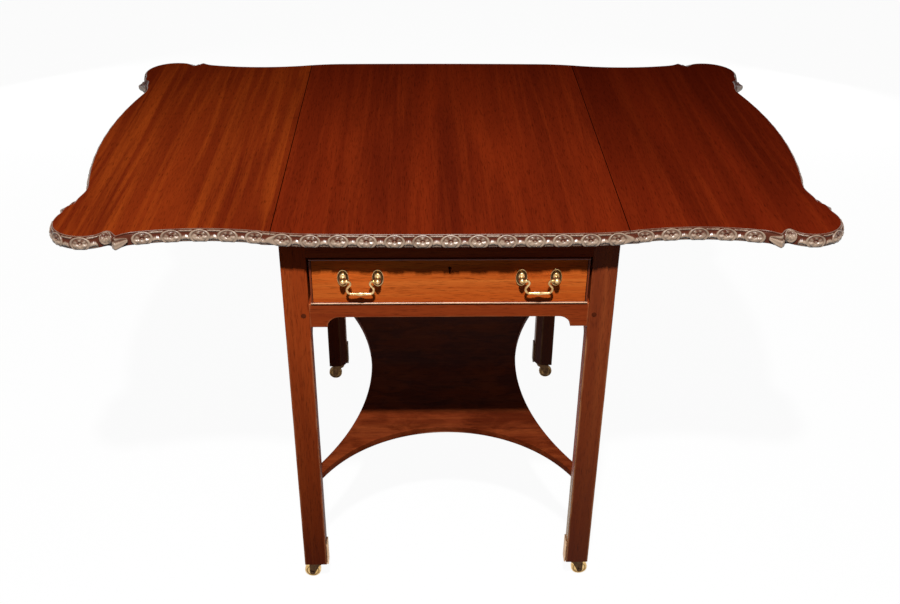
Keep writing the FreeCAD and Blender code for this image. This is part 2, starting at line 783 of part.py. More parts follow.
def shelf_corner(side, end, first_to_last):
    """The housed corner of the shelf, walked one way or the other."""
    points = [(chamfer_x, leg_in_y)] + tongue + [(leg_in_x, chamfer_y)]
    if not first_to_last:
        points.reverse()
    return [placed(point, side, end) for point in points]


front_right = shelf_corner(1, -1, False)
back_right = shelf_corner(1, 1, True)
back_left = shelf_corner(-1, 1, False)
front_left = shelf_corner(-1, -1, True)
shelf = doc.addObject("PartDesign::Body", "shelf")
pad(shelf, "XY_Plane", shelf_low, size.shelf_height,
    *front_right[1:],
    ((size.shelf_side_half, ZERO), back_right[0]), *back_right[1:],
    ((ZERO, size.shelf_back_half), back_left[0]), *back_left[1:],
    ((-size.shelf_side_half, ZERO), front_left[0]), *front_left[1:],
    ((ZERO, -size.shelf_front_half), front_right[0]))
keep(shelf)


# Legs: square, with a stopped chamfer on the inner corner and mortises for the rails

chamfer_top = bracket_low - size.chamfer_stop
plate_under = size.caster_height - size.caster_plate_thickness
caster_plates = []
caster_screws = []
for corner_name, side, end in CORNERS:
    leg = doc.addObject("PartDesign::Body", f"leg_{corner_name}_blank")
    x_limits = across(side, leg_in_x, frame_x)
    y_limits = across(end, leg_in_y, frame_y)
    pad(leg, "XY_Plane", size.caster_height, under_z, *rectangle(x_limits, y_limits))
    pocket(leg, "XY_Plane", size.caster_height, chamfer_top,
           placed((leg_in_x, leg_in_y), side, end),
           placed((chamfer_x, leg_in_y), side, end),
           placed((leg_in_x, chamfer_y), side, end))
    pocket(leg, "XY_Plane", shelf_low, size.shelf_height,
           *[placed(point, side, end) for point in tongue])
    mortises = [block(f"leg_{corner_name}_side_mortise", across(side, *side_tenon_x),
                      across(end, leg_in_y, side_tenon_y), deep_tenon_z)]
    cross_mortise = across(side, leg_in_x, front_tenon_x)
    if end < 0:
        for number, limits in enumerate((upper_tenon_z, lower_tenon_z)):
            mortises.append(block(f"leg_{corner_name}_rail_mortise_{number}", cross_mortise,
                                  front_tenon_y, limits))
    else:
        mortises.append(block(f"leg_{corner_name}_rail_mortise", cross_mortise,
                              back_tenon_y, deep_tenon_z))
    screws = []
    for number in range(CASTER_SCREWS):
        angle = 2 * math.pi * number / CASTER_SCREWS
        x = leg_mid_x * side + size.caster_screw_ring * math.cos(angle)
        y = leg_mid_y * end + size.caster_screw_ring * math.sin(angle)
        head = rod(f"caster_screw_head_{corner_name}_{number}", "z", size.caster_screw_head,
                   (x, y, plate_under), size.caster_plate_thickness / 2)
        shank = rod(f"caster_screw_shank_{corner_name}_{number}", "z", size.caster_screw_radius,
                    (x, y, plate_under), size.caster_screw_length)
        screws.append(fuse(f"caster_screw_{corner_name}_{number}", [head, shank]))
    keep(cut(f"leg_{corner_name}", leg, mortises + pegs + screws))

    # Caster: plate and pintle under the leg, swivelling horn, axle and wheel
    centre = (leg_mid_x * side, leg_mid_y * end)
    plate = fuse(f"caster_plate_solid_{corner_name}", [
        rod(f"caster_disc_{corner_name}", "z", size.caster_plate_radius,
            (*centre, plate_under), size.caster_plate_thickness),
        rod(f"caster_pintle_{corner_name}", "z", size.pintle_radius,
            (*centre, plate_under - size.pintle_length), size.pintle_length),
    ])
    caster_plates.append(cut(f"caster_plate_{corner_name}", plate, screws))
    caster_screws += screws

    horn_top = plate_under - size.horn_gap
    horn_low = horn_top - size.horn_height
    wheel_x = (leg_mid_x + size.caster_trail) * side
    wheel_z = size.wheel_radius
    cheek_half = size.cheek_width / 2
    parts = [rod(f"horn_cap_{corner_name}", "z", size.horn_radius, (*centre, horn_low),
                 size.horn_height)]
    cheek_near = size.wheel_width / 2 + size.cheek_gap
    cheek_far = cheek_near + size.cheek_thickness
    for flank_name, flank in SIDES.items():
        cheek = doc.addObject("PartDesign::Body", f"horn_cheek_{corner_name}_{flank_name}")
        near, far = across(flank, cheek_near, cheek_far)
        pad(cheek, "XZ_Plane", centre[1] + near, centre[1] + far,
            (centre[0] - cheek_half * side, horn_low + size.horn_height / 2),
            (wheel_x + cheek_half * side, horn_low + size.horn_height / 2),
            (wheel_x + cheek_half * side, wheel_z),
            ((wheel_x, wheel_z - cheek_half), (wheel_x - cheek_half * side, wheel_z)),
            (centre[0] - cheek_half * side, horn_low))
        parts.append(cheek)
    axle_half = cheek_far + size.axle_proud
    axle = rod(f"caster_axle_{corner_name}", "y", size.axle_radius,
               (wheel_x, centre[1] - axle_half, wheel_z), axle_half * 2)
    pintle_hole = rod(f"horn_bore_{corner_name}", "z", size.pintle_radius + size.pin_play,
                      (*centre, horn_low), size.horn_height)
    horn = fuse(f"horn_solid_{corner_name}", parts)
    keep(cut(f"caster_horn_{corner_name}", horn, [pintle_hole, axle]))
    keep(axle)

    wheel_half = size.wheel_width / 2
    wheel_edge = size.wheel_radius - size.wheel_round
    bore = size.axle_radius + size.pin_play
    keep(turned(f"caster_wheel_{corner_name}", "XY_Plane", (wheel_x, centre[1], wheel_z),
                (bore, -wheel_half),
                (wheel_edge, -wheel_half),
                ((size.wheel_radius, ZERO), (wheel_edge, wheel_half)),
                (bore, wheel_half)))
group("caster_plates", caster_plates)
group("caster_screws", caster_screws)


# Fly rails and brackets: a wooden knuckle on an iron pin, swung out to hold up a leaf

fly_out = side_rail_out + size.fly_thickness
swing_in = side_rail_out + size.fly_gap
swing_mid = (swing_in + fly_out) / 2
barrel = (fly_out - swing_in) / 2
knuckle_y = size.fly_knuckle_y
tip_y = knuckle_y - size.fly_length
swing_top = under_z - size.fly_gap
swing_low = swing_top - size.fly_height
arm_y = knuckle_y - barrel - size.fly_gap
straight_y = knuckle_y - size.fly_straight
cove_y = straight_y - size.fly_cove_length
cove_z = swing_low + size.fly_cove_rise
cove_mid = ((straight_y + cove_y) / 2, (swing_low + cove_z) / 2 - size.fly_cove_sag)
tip_low = swing_top - size.fly_tip_height
shadow = size.fly_gap
finger = size.fly_height / KNUCKLE_FINGERS
fly_pins = []
for side_name, side in SIDES.items():
    rail_body = doc.addObject("PartDesign::Body", f"fly_rail_board_{side_name}")
    pad(rail_body, "YZ_Plane", *across(side, side_rail_out, fly_out),
        (-leg_in_y, rail_low),
        (leg_in_y, rail_low),
        (leg_in_y, under_z),
        (knuckle_y + barrel + shadow, under_z),
        (knuckle_y + barrel + shadow, swing_low - shadow),
        (straight_y, swing_low - shadow),
        ((cove_mid[0], cove_mid[1] - shadow), (cove_y, cove_z - shadow)),
        (tip_y - size.fly_end_gap, tip_low - shadow),
        (tip_y - size.fly_end_gap, under_z),
        (-leg_in_y, under_z))
    arm_body = doc.addObject("PartDesign::Body", f"fly_arm_{side_name}")
    pad(arm_body, "YZ_Plane", *across(side, swing_in, fly_out),
        (arm_y, swing_top),
        (tip_y, swing_top),
        (tip_y, tip_low),
        (cove_y, cove_z),
        (cove_mid, (straight_y, swing_low)),
        (arm_y, swing_low))
    fixed = [rail_body]
    swung = [arm_body]
    for number in range(KNUCKLE_FINGERS):
        low = swing_low + finger * number
        band = (low + size.fly_knuckle_gap / 2, low + finger - size.fly_knuckle_gap / 2)
        is_fixed = number % 2 == 0
        if number == 0:
            band = (swing_low - shadow, band[1])
        far_y = knuckle_y + barrel + size.fly_gap * 2 if is_fixed else arm_y - size.fly_gap
        web_y = (knuckle_y, far_y) if is_fixed else (far_y, knuckle_y)
        pieces = fixed if is_fixed else swung
        pieces.append(rod(f"fly_finger_{side_name}_{number}", "z", barrel,
                          (swing_mid * side, knuckle_y, band[0]), band[1] - band[0]))
        pieces.append(block(f"fly_web_{side_name}_{number}", across(side, swing_in, fly_out),
                            web_y, band))
    pin_low = swing_low - size.fly_pin_seat
    pin_place = (swing_mid * side, knuckle_y, pin_low)
    pin_reach = size.fly_height + size.fly_pin_seat
    fly_pins.append(rod(f"fly_pin_{side_name}", "z", size.fly_pin_radius, pin_place, pin_reach))
    loose_hole = rod(f"fly_hole_{side_name}", "z", size.fly_pin_radius + size.pin_play,
                     pin_place, pin_reach)
    keep(cut(f"fly_rail_{side_name}", fuse(f"fly_rail_solid_{side_name}", fixed), [fly_pins[-1]]))
    keep(cut(f"fly_bracket_{side_name}", fuse(f"fly_arm_solid_{side_name}", swung), [loose_hole]))
group("fly_pins", fly_pins)


# Drawer runners, kickers and stops, and the glue blocks under the top

rail_back = -(frame_y - size.lower_rail_depth)
upper_back = -(frame_y - size.upper_rail_depth)
runners = []
kickers = []
stops = []
blocks = []
side_top = opening_low + size.drawer_play + size.drawer_side_height
kicker_low = side_top + size.kicker_gap
for side_name, side in SIDES.items():
    width = across(side, side_rail_in - size.runner_width, side_rail_in)
    runners.append(block(f"runner_{side_name}", width, (rail_back, leg_in_y),
                         (opening_low - size.runner_height, opening_low)))
    kickers.append(block(f"kicker_{side_name}", width, (upper_back, leg_in_y),
                         (kicker_low, kicker_low + size.kicker_height)))
    stop_y = -(frame_y - size.drawer_front_thickness - size.stop_gap)
    stops.append(block(f"stop_{side_name}",
                       (size.stop_offset * side - size.stop_width / 2,
                        size.stop_offset * side + size.stop_width / 2),
                       (stop_y, stop_y + size.stop_length),
                       (opening_low, opening_low + size.stop_height)))
    for end_name, end in ENDS.items():
        blocks.append(block(f"glue_block_{side_name}_{end_name}",
                            across(side, side_rail_in - size.block_width, side_rail_in),
                            (size.block_offset * end - size.block_length / 2,
                             size.block_offset * end + size.block_length / 2),
                            (under_z - size.block_width, under_z)))
group("drawer_runners", runners)
group("drawer_kickers", kickers)
group("drawer_stops", stops)
group("glue_blocks", blocks)


# Drawer: lapped box behind a front with applied cock beads

front_y = -frame_y
front_back_y = front_y + size.drawer_front_thickness
bead_x = leg_in_x - size.drawer_gap
front_half = bead_x - size.bead_thickness
bead_z = (opening_low + size.drawer_gap, opening_top - size.drawer_gap)
front_z = (bead_z[0] + size.bead_thickness, bead_z[1] - size.bead_thickness)
side_in = front_half - size.drawer_side_thickness
side_low = opening_low + size.drawer_play
drawer_end = front_y + size.drawer_length
bottom_z = (opening_low + size.drawer_bottom_rise,
            opening_low + size.drawer_bottom_rise + size.drawer_bottom_thickness)
bottom_half = side_in + size.drawer_groove
bottom_start = front_back_y - size.drawer_groove
bottom = block("drawer_bottom", (-bottom_half, bottom_half), (bottom_start, drawer_end), bottom_z)
keep(bottom)

post_z = opening_low + size.handle_rise
post_places = [
    (size.handle_offset * side + size.post_half * flank, f"{side_name}_{flank_name}")
    for side_name, side in SIDES.items()
    for flank_name, flank in SIDES.items()
]
stem_reach = size.drawer_front_thickness + size.nut_thickness
stem_holes = [
    rod(f"post_hole_{place}", "y", size.post_stem_radius,
        (x, front_y - size.rosette_thickness, post_z), size.rosette_thickness + stem_reach)
    for x, place in post_places
]
key_z = opening_low + size.keyhole_rise
keyhole = [
    rod("keyhole_round", "y", size.keyhole_radius, (ZERO, front_y, key_z),
        size.drawer_front_thickness),
    block("keyhole_slot", (-size.keyhole_slot / 2, size.keyhole_slot / 2), (front_y, front_back_y),
          (key_z - size.keyhole_drop, key_z)),
]
front_body = doc.addObject("PartDesign::Body", "drawer_front_blank")
lap_y = front_y + size.drawer_lap
pad(front_body, "XY_Plane", *front_z,
    (-front_half, front_y),
    (front_half, front_y),
    (front_half, lap_y),
    (side_in, lap_y),
    (side_in, front_back_y),
    (-side_in, front_back_y),
    (-side_in, lap_y),
    (-front_half, lap_y))
keep(cut("drawer_front", front_body, [bottom] + stem_holes + keyhole))

for side_name, side in SIDES.items():
    keep(cut(f"drawer_side_{side_name}",
             block(f"drawer_side_{side_name}_blank", across(side, side_in, front_half),
                   (lap_y, drawer_end), (side_low, side_top)),
             [bottom]))
back_start = drawer_end - size.drawer_back_thickness
keep(block("drawer_back", (-side_in, side_in), (back_start, drawer_end),
           (bottom_z[1], side_top - size.drawer_back_drop)))

bead_y = (front_y - size.bead_proud, lap_y)
keep(block("cock_bead_top", (-bead_x, bead_x), bead_y, (front_z[1], bead_z[1])))
keep(block("cock_bead_bottom", (-bead_x, bead_x), bead_y, (bead_z[0], front_z[0])))
group("cock_beads_side", [
    block(f"cock_bead_{side_name}", across(side, front_half, bead_x), bead_y, front_z)
    for side_name, side in SIDES.items()
])


# Drawer lock: brass case behind the keyhole, with a bolt that rises into the upper rail

case_top = opening_top - size.lock_top_gap
case_low = case_top - size.lock_height
lock_half = size.lock_width / 2
bolt_top = opening_top - size.bolt_top_gap
bolt_z = (bolt_top - size.bolt_length, bolt_top)
case = block("lock_case_blank", (-lock_half, lock_half),
             (front_back_y, front_back_y + size.lock_depth), (case_low, case_top))
bolt_way = block("lock_bolt_way",
                 (-(bolt_half_x + size.bolt_play), bolt_half_x + size.bolt_play),
                 (bolt_mid_y - bolt_half_y - size.bolt_play,
                  bolt_mid_y + bolt_half_y + size.bolt_play),
                 (bolt_z[0] - size.bolt_play, case_top))
keep(cut("lock_case", case, [bolt_way]))
keep(block("lock_bolt", (-bolt_half_x, bolt_half_x),
           (bolt_mid_y - bolt_half_y, bolt_mid_y + bolt_half_y), bolt_z))


# Handles: oval rosettes, turned posts with nuts inside, and swan-neck bails

bail_y = front_y - size.post_reach
posts = []
rosettes = []
nuts = []
hole_radius = size.bail_radius + size.pin_play
neck_square = size.post_neck_radius * size.post_neck_radius
ball_start = (size.post_ball_radius * size.post_ball_radius - neck_square).root() - size.post_reach
collar_end = -(size.rosette_thickness + size.post_collar_length)
for (x, place), stem_hole in zip(post_places, stem_holes):
    inward = -1 if place.endswith("right") else 1
    post = turned(f"handle_post_blank_{place}", "XY_Plane", (x, front_y, post_z),
                  (ZERO, stem_reach),
                  (ZERO, -(size.post_reach + size.post_ball_radius)),
                  ((size.post_ball_radius, -size.post_reach), (size.post_neck_radius, ball_start)),
                  (size.post_neck_radius, collar_end),
                  (size.post_collar_radius, collar_end),
                  (size.post_collar_radius, -size.rosette_thickness),
                  (size.post_stem_radius, -size.rosette_thickness),
                  (size.post_stem_radius, stem_reach))
    hole_start = x - size.bail_hole_past if inward > 0 else x - size.post_ball_radius
    hole = rod(f"bail_hole_{place}", "x", hole_radius, (hole_start, bail_y, post_z),
               size.post_ball_radius + size.bail_hole_past)
    posts.append(cut(f"handle_post_{place}", post, [hole]))

    oval = doc.addObject("Part::Ellipse", f"rosette_oval_{place}")
    oval.Placement = FreeCAD.Placement(
        FreeCAD.Vector(), FreeCAD.Rotation(FreeCAD.Vector(0, 0, 1), FreeCAD.Vector(1, 0, 0),
                                           FreeCAD.Vector(0, 1, 0), "ZXY"))
    bind(oval, "MajorRadius", size.rosette_half_height)
    bind(oval, "MinorRadius", size.rosette_half_width)
    for letter, amount in zip("xyz", (x, front_y, post_z)):
        bind(oval, f"Placement.Base.{letter}", amount)
    plate = doc.addObject("Part::Extrusion", f"rosette_plate_{place}")
    plate.Base = oval
    plate.DirMode = "Custom"
    plate.Dir = FreeCAD.Vector(0, -1, 0)
    plate.Solid = True
    bind(plate, "LengthFwd", size.rosette_thickness)
    rosettes.append(cut(f"handle_rosette_{place}", plate, [stem_hole]))
    nuts.append(cut(f"handle_nut_{place}",
                    rod(f"handle_nut_blank_{place}", "y", size.nut_radius,
                        (x, front_back_y, post_z), size.nut_thickness),
                    [stem_hole]))
group("handle_posts", posts)
group("handle_rosettes", rosettes)
group("handle_nuts", nuts)

sine = math.sin(NECK_TURN)
cosine = math.cos(NECK_TURN)
half_loop = math.pi / 4 - NECK_TURN / 2
half_bend = 1.25 * math.pi - NECK_TURN / 2
loop_x = size.post_half - size.bail_loop_in
neck_end = (loop_x - size.bail_loop * cosine, -(size.bail_loop + size.bail_loop * sine))
run_end = (neck_end[0] + size.bail_run * sine, neck_end[1] - size.bail_run * cosine)
bend = (run_end[0] - size.bail_bend * cosine, run_end[1] - size.bail_bend * sine)
half_bail = [
    (loop_x, ZERO),
    ((loop_x - size.bail_loop * math.cos(half_loop), size.bail_loop * (math.sin(half_loop) - 1)),
     neck_end),
    run_end,
    ((bend[0] - size.bail_bend * math.cos(half_bend), bend[1] + size.bail_bend * math.sin(half_bend)),
     (bend[0], bend[1] - size.bail_bend)),
]
bail_start = (size.post_half + size.bail_end, ZERO)
for side_name, side in SIDES.items():
    bail = doc.addObject("PartDesign::Body", f"handle_bail_{side_name}")
    middle_x = size.handle_offset * side
    route = sketch_on(bail, "XZ_Plane", (middle_x, post_z, -bail_y))
    draw(route, placed(bail_start, -1, 1),
         *[placed(step, -1, 1) for step in half_bail],
         placed(half_bail[-1][1], 1, 1),
         *mirrored(half_bail, bail_start, 1, 1), closed=False)
    wire = sketch_on(bail, "YZ_Plane", (bail_y, post_z, middle_x - bail_start[0]))
    ring = wire.addGeometry(Part.Circle(FreeCAD.Vector(), FreeCAD.Vector(0, 0, 1),
                                        size.bail_radius.value))
    wire.addConstraint(Sketcher.Constraint("Coincident", ring, 3, -1, 1))
    rule = wire.addConstraint(Sketcher.Constraint("Radius", ring, size.bail_radius.value))
    bind(wire, f"Constraints[{rule}]", size.bail_radius)
    pipe = bail.newObject("PartDesign::AdditivePipe", f"bail_pipe_{side_name}")
    pipe.Profile = wire
    pipe.Spine = route
    keep(bail)


# Check every object, then write one file for each piece

doc.recompute()
broken = [thing.Label for thing in doc.Objects if "Invalid" in thing.State or "Error" in thing.State]
for label, piece in nodes.items():
    if piece.Shape.isNull() or not piece.Shape.isValid() or not piece.Shape.Solids:
        broken.append(label)
for thing in doc.Objects:
    if thing.TypeId == "PartDesign::Pocket":
        if thing.Shape.Volume > thing.BaseFeature.Shape.Volume - 1.0:
            broken.append(f"{thing.Label} cuts nothing")
if broken:
    raise RuntimeError(f"pieces that failed: {broken}")
os.makedirs("parts", exist_ok=True)
for label, piece in nodes.items():
    piece.Shape.exportStep(os.path.join("parts", f"{label}.step"))
print(f"{len(nodes)} nodes, {sum(len(piece.Shape.Solids) for piece in nodes.values())} solids")
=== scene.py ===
import bmesh
import bpy
import numpy as np
from mathutils import Matrix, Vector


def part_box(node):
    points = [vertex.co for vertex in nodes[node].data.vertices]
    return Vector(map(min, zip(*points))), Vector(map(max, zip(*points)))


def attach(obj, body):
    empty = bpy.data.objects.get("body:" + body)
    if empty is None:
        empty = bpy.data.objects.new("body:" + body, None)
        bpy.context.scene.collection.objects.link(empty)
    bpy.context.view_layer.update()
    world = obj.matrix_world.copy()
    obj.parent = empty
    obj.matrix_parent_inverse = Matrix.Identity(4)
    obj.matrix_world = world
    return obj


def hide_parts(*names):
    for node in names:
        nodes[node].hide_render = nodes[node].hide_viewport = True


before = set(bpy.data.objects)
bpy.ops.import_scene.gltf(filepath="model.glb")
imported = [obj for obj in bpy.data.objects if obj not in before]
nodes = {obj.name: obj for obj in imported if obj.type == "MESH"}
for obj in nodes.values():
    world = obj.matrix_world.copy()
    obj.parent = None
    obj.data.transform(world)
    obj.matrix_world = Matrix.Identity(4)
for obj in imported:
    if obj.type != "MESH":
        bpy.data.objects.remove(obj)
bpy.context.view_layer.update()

# Legs: four square posts of solid mahogany, stained and polished, with a wide stopped chamfer on
# the inner corner. The other arrises are worn round, the colour darkens towards the feet as
# painted shade, and the right front leg's inner side below the shelf is a pale painted reflection
# of the floor.
MM = 0.001


def span(node):
    """Lowest and highest corner of a CAD node at rest, in mm."""
    return np.array([list(corner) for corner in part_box(node)]) / MM


def ease(value, start, end):
    """0 up to start, 1 from end on, and the smooth step 3t^2 - 2t^3 between them."""
    t = np.clip((value - start) / (end - start), 0.0, 1.0)
    return t * t * (3.0 - 2.0 * t)


def grid(x, y, z):
    """Points from their three coordinates, each spread over the same grid."""
    return np.stack(np.broadcast_arrays(x, y, z), axis=-1)


def skin(name, rings, materials, wall=0, low_cap=0, high_cap=0, sharp=None, **marks):
    """Closed mesh over a stack of closed rings, rings[i, j] being point j of ring i in mm: quads
    join each ring to the next and one flat face closes either end. wall is the material's number,
    or one number for each point of a ring. marks are values per point that a material reads."""
    count, around = rings.shape[:2]
    place = np.arange(count * around).reshape(count, around)
    ahead = np.roll(place, -1, axis=1)
    walls = np.stack([place[:-1], ahead[:-1], ahead[1:], place[1:]], axis=-1).reshape(-1, 4)
    mesh = bpy.data.meshes.new(name)
    faces = walls.tolist() + [place[0, ::-1].tolist(), place[-1].tolist()]
    mesh.from_pydata((rings.reshape(-1, 3) * MM).tolist(), [], faces)
    numbers = np.broadcast_to(wall, (count - 1, around)).ravel()
    mesh.polygons.foreach_set("material_index", np.append(numbers, [low_cap, high_cap]))
    smooth = np.ones(len(faces), bool)
    smooth[-2:] = False
    mesh.polygons.foreach_set("use_smooth", smooth)
    for mark, values in marks.items():
        layer = mesh.attributes.new(mark, "FLOAT", "POINT")
        layer.data.foreach_set("value", np.broadcast_to(values, (count, around)).ravel())
    turned = bmesh.new()
    turned.from_mesh(mesh)
    bmesh.ops.recalc_face_normals(turned, faces=turned.faces)
    turned.to_mesh(mesh)
    turned.free()
    if sharp:
        mesh.set_sharp_from_angle(angle=np.radians(sharp))
    for material in materials:
        mesh.materials.append(material)
    made = bpy.data.objects.new(name, mesh)
    bpy.context.scene.collection.objects.link(made)
    return made


def tone(red, green, blue):
    """Screen colour, 0 to 255 a channel, as the linear colour that a shader takes."""
    share = np.array([red, green, blue]) / 255.0
    linear = np.where(share <= 0.04045, share / 12.92, ((share + 0.055) / 1.055) ** 2.4)
    return (*linear.tolist(), 1.0)


def feed(tree, made, feeds):
    """Sockets of a shader node, each linked or set to a plain value."""
    for key, value in feeds.items():
        if isinstance(value, bpy.types.NodeSocket):
            tree.links.new(value, made.inputs[key])
        else:
            made.inputs[key].default_value = value


def node(tree, kind, feeds=None, **settings):
    """One shader node: settings go on the node and feeds on its sockets."""
    made = tree.nodes.new(kind)
    for key, value in settings.items():
        setattr(made, key, value)
    feed(tree, made, feeds or {})
    return made


def ramp(tree, factor, *stops):
    """Colour ramp over factor; each stop is its place from 0 to 1 and its colour."""
    made = node(tree, "ShaderNodeValToRGB", {"Fac": factor})
    bar = made.color_ramp.elements
    while len(bar) < len(stops):
        bar.new(0.5)
    for element, (position, colour) in zip(bar, stops):
        element.position = position
        element.color = colour
    return made.outputs["Color"]


def mixed(tree, factor, under, over, blend="MIX"):
    """Colour under with colour over laid on it as much as factor says."""
    made = node(tree, "ShaderNodeMix", {0: factor, 6: under, 7: over}, data_type="RGBA",
                blend_type=blend)
    return made.outputs[2]


def ranged(tree, value, low, high, new_low, new_high):
    """Value carried from the range low to high onto new_low to new_high, held at both ends."""
    return node(tree, "ShaderNodeMapRange", {
        "Value": value, "From Min": low, "From Max": high, "To Min": new_low, "To Max": new_high,
    }).outputs["Result"]


def drawn_noise(tree, grain, shift, figure):
    """Noise on Object coordinates, drawn out along the axis grain. figure is its changes per metre
    along and across the grain, its detail and its distortion, and shift moves it so that each board
    has figure of its own."""
    along, across, detail, distortion = figure
    scale = [across] * 3
    scale[grain] = along
    place = node(tree, "ShaderNodeTexCoord").outputs["Object"]
    placed = node(tree, "ShaderNodeMapping", {"Vector": place, "Scale": scale, "Location": shift})
    return node(tree, "ShaderNodeTexNoise", {
        "Vector": placed.outputs["Vector"], "Scale": 1.0, "Detail": detail, "Roughness": 0.58,
        "Distortion": distortion,
    }).outputs["Fac"]


WHITE = (1.0, 1.0, 1.0, 1.0)
ALONG_X, ALONG_Y, ALONG_Z = 0, 1, 2


def shaded(tree, colour, shade):
    """Colour darkened along an axis as painted shade. shade is the axis, the place in m where the
    dark colour multiplies fully, the place where it has gone, and the dark colour."""
    axis, full, gone, dark = shade
    place = node(tree, "ShaderNodeTexCoord").outputs["Object"]
    parts = node(tree, "ShaderNodeSeparateXYZ", {"Vector": place})
    share = ranged(tree, parts.outputs[axis], full, gone, 1.0, 0.0)
    return mixed(tree, share, colour, dark, "MULTIPLY")


def surface(name):
    """New material, and its node tree."""
    made = bpy.data.materials.new(name)
    made.use_nodes = True
    return made, made.node_tree


def finished(tree, colour, rough, dents, press, depth, other):
    """Feeds of the surface shader: colour, roughness, dents that a height presses in, and other."""
    pressed = node(tree, "ShaderNodeBump", {"Strength": press, "Distance": depth, "Height": dents})
    feed(tree, tree.nodes["Principled BSDF"], {
        "Base Color": colour, "Roughness": rough, "Normal": pressed.outputs["Normal"], **other})


CLOUDS, LINES = (0.9, 9.0, 3.0, 0.7), (1.6, 62.0, 5.0, 0.9)
PORES, PORE_DEPTH = (52.0, 1150.0, 2.0, 0.2), 0.0002
WEAR_AND_LIGHT_PATCHES, BLOTCHES = (22.0, 60.0, 3.0, 0.3), (14.0, 24.0, 4.0, 0.6)


def timber(name, deep, middle, pale, grain, shift, shine=0.0, rough=(0.34, 0.46), worn=None,
           streak=0.5, shade=None, stain=None):
    """Polished wood: slow clouds from deep to middle, narrow pale streaks over them, and short dark
    pores that are also pressed into the surface. Where the point value for wear is high the colour
    goes to the worn colour: real wear on arrises, a painted highlight on the lowest cock bead's
    crown and painted shade along the side cock beads' inner flanks. shade is as for shaded, and
    stain is a colour that multiplies soft blotches."""
    made, tree = surface(name)
    clouds, lines, pores = (
        drawn_noise(tree, grain, shift, figure) for figure in (CLOUDS, LINES, PORES))
    colour = ramp(tree, clouds, (0.32, deep), (0.66, middle))
    colour = mixed(tree, ranged(tree, lines, 0.46, 0.72, 0.0, streak), colour, pale)
    dashes = ramp(tree, pores, (0.30, tone(182, 172, 168)), (0.46, WHITE))
    colour = mixed(tree, 1.0, colour, dashes, "MULTIPLY")
    if shade:
        colour = shaded(tree, colour, shade)
    if worn:
        wear = node(tree, "ShaderNodeAttribute", attribute_name="wear").outputs["Fac"]
        patches = drawn_noise(tree, grain, shift, WEAR_AND_LIGHT_PATCHES)
        patched = node(tree, "ShaderNodeMath", {0: wear, 1: patches}, operation="MULTIPLY")
        colour = mixed(tree, ranged(tree, patched.outputs["Value"], 0.12, 0.6, 0.0, 0.85),
                       colour, worn)
    if stain:
        blotches = drawn_noise(tree, grain, shift, BLOTCHES)
        colour = mixed(tree, ranged(tree, blotches, 0.42, 0.60, 0.0, 1.0), colour,
                       mixed(tree, 1.0, colour, stain, "MULTIPLY"))
    finished(tree, colour, ranged(tree, clouds, 0.3, 0.7, *rough), pores, 0.25, PORE_DEPTH,
             {"Specular IOR Level": shine})
    return made


LEG_ARRIS = 1.3
LEG_CHAMFER = 13.0
CHAMFER_END = 506.0
CHAMFER_GONE = 521.0
WEAR_REACH = 3.0
ROUND_BULGE = 1.0 - np.sqrt(0.5)
SLOW_RIPPLE, QUICK_RIPPLE, RIPPLE_SHARE = 0.043, 0.117, 0.14
ARRIS_WEAR = np.array([0.0, 0.6, 0.9, 1.0, 1.0, 1.0, 0.9, 0.6, 0.0])
CHAMFER_WEAR = np.array([0.0, 1.0, 0.3, 0.0, 0.0, 0.0, 0.3, 1.0, 0.0])
UPPER_SPARED = 0.75

# Painted shade: the shade of each leg wood darkens it towards the feet.
leg_woods = {
    "left": timber("leg_left_mahogany", tone(116, 40, 14), tone(151, 60, 22), tone(176, 82, 35),
                   ALONG_Z, (3.1, 0.4, 0.0), shine=0.03, worn=tone(176, 108, 70),
                   shade=(ALONG_Z, 0.03, 0.52, tone(160, 152, 150))),
    "right": timber("leg_right_mahogany", tone(104, 40, 18), tone(137, 59, 26), tone(158, 78, 38),
                    ALONG_Z, (1.4, 2.2, 0.5), shine=0.07, worn=tone(186, 126, 84),
                    shade=(ALONG_Z, 0.03, 0.52, tone(168, 158, 150)))}
# Painted floor reflection on the right front leg's inner side below the shelf; its shade is painted
# shade above the shelf.
FLOOR_REFLECTION_LEG = "front_right"
floor_reflection_wood = timber(
    "floor_reflection_mahogany", tone(222, 174, 126), tone(240, 198, 150), tone(246, 212, 170), ALONG_Z,
    (1.4, 2.2, 0.5), shine=0.3, shade=(ALONG_Z, 0.24, 0.20, tone(186, 96, 58)))


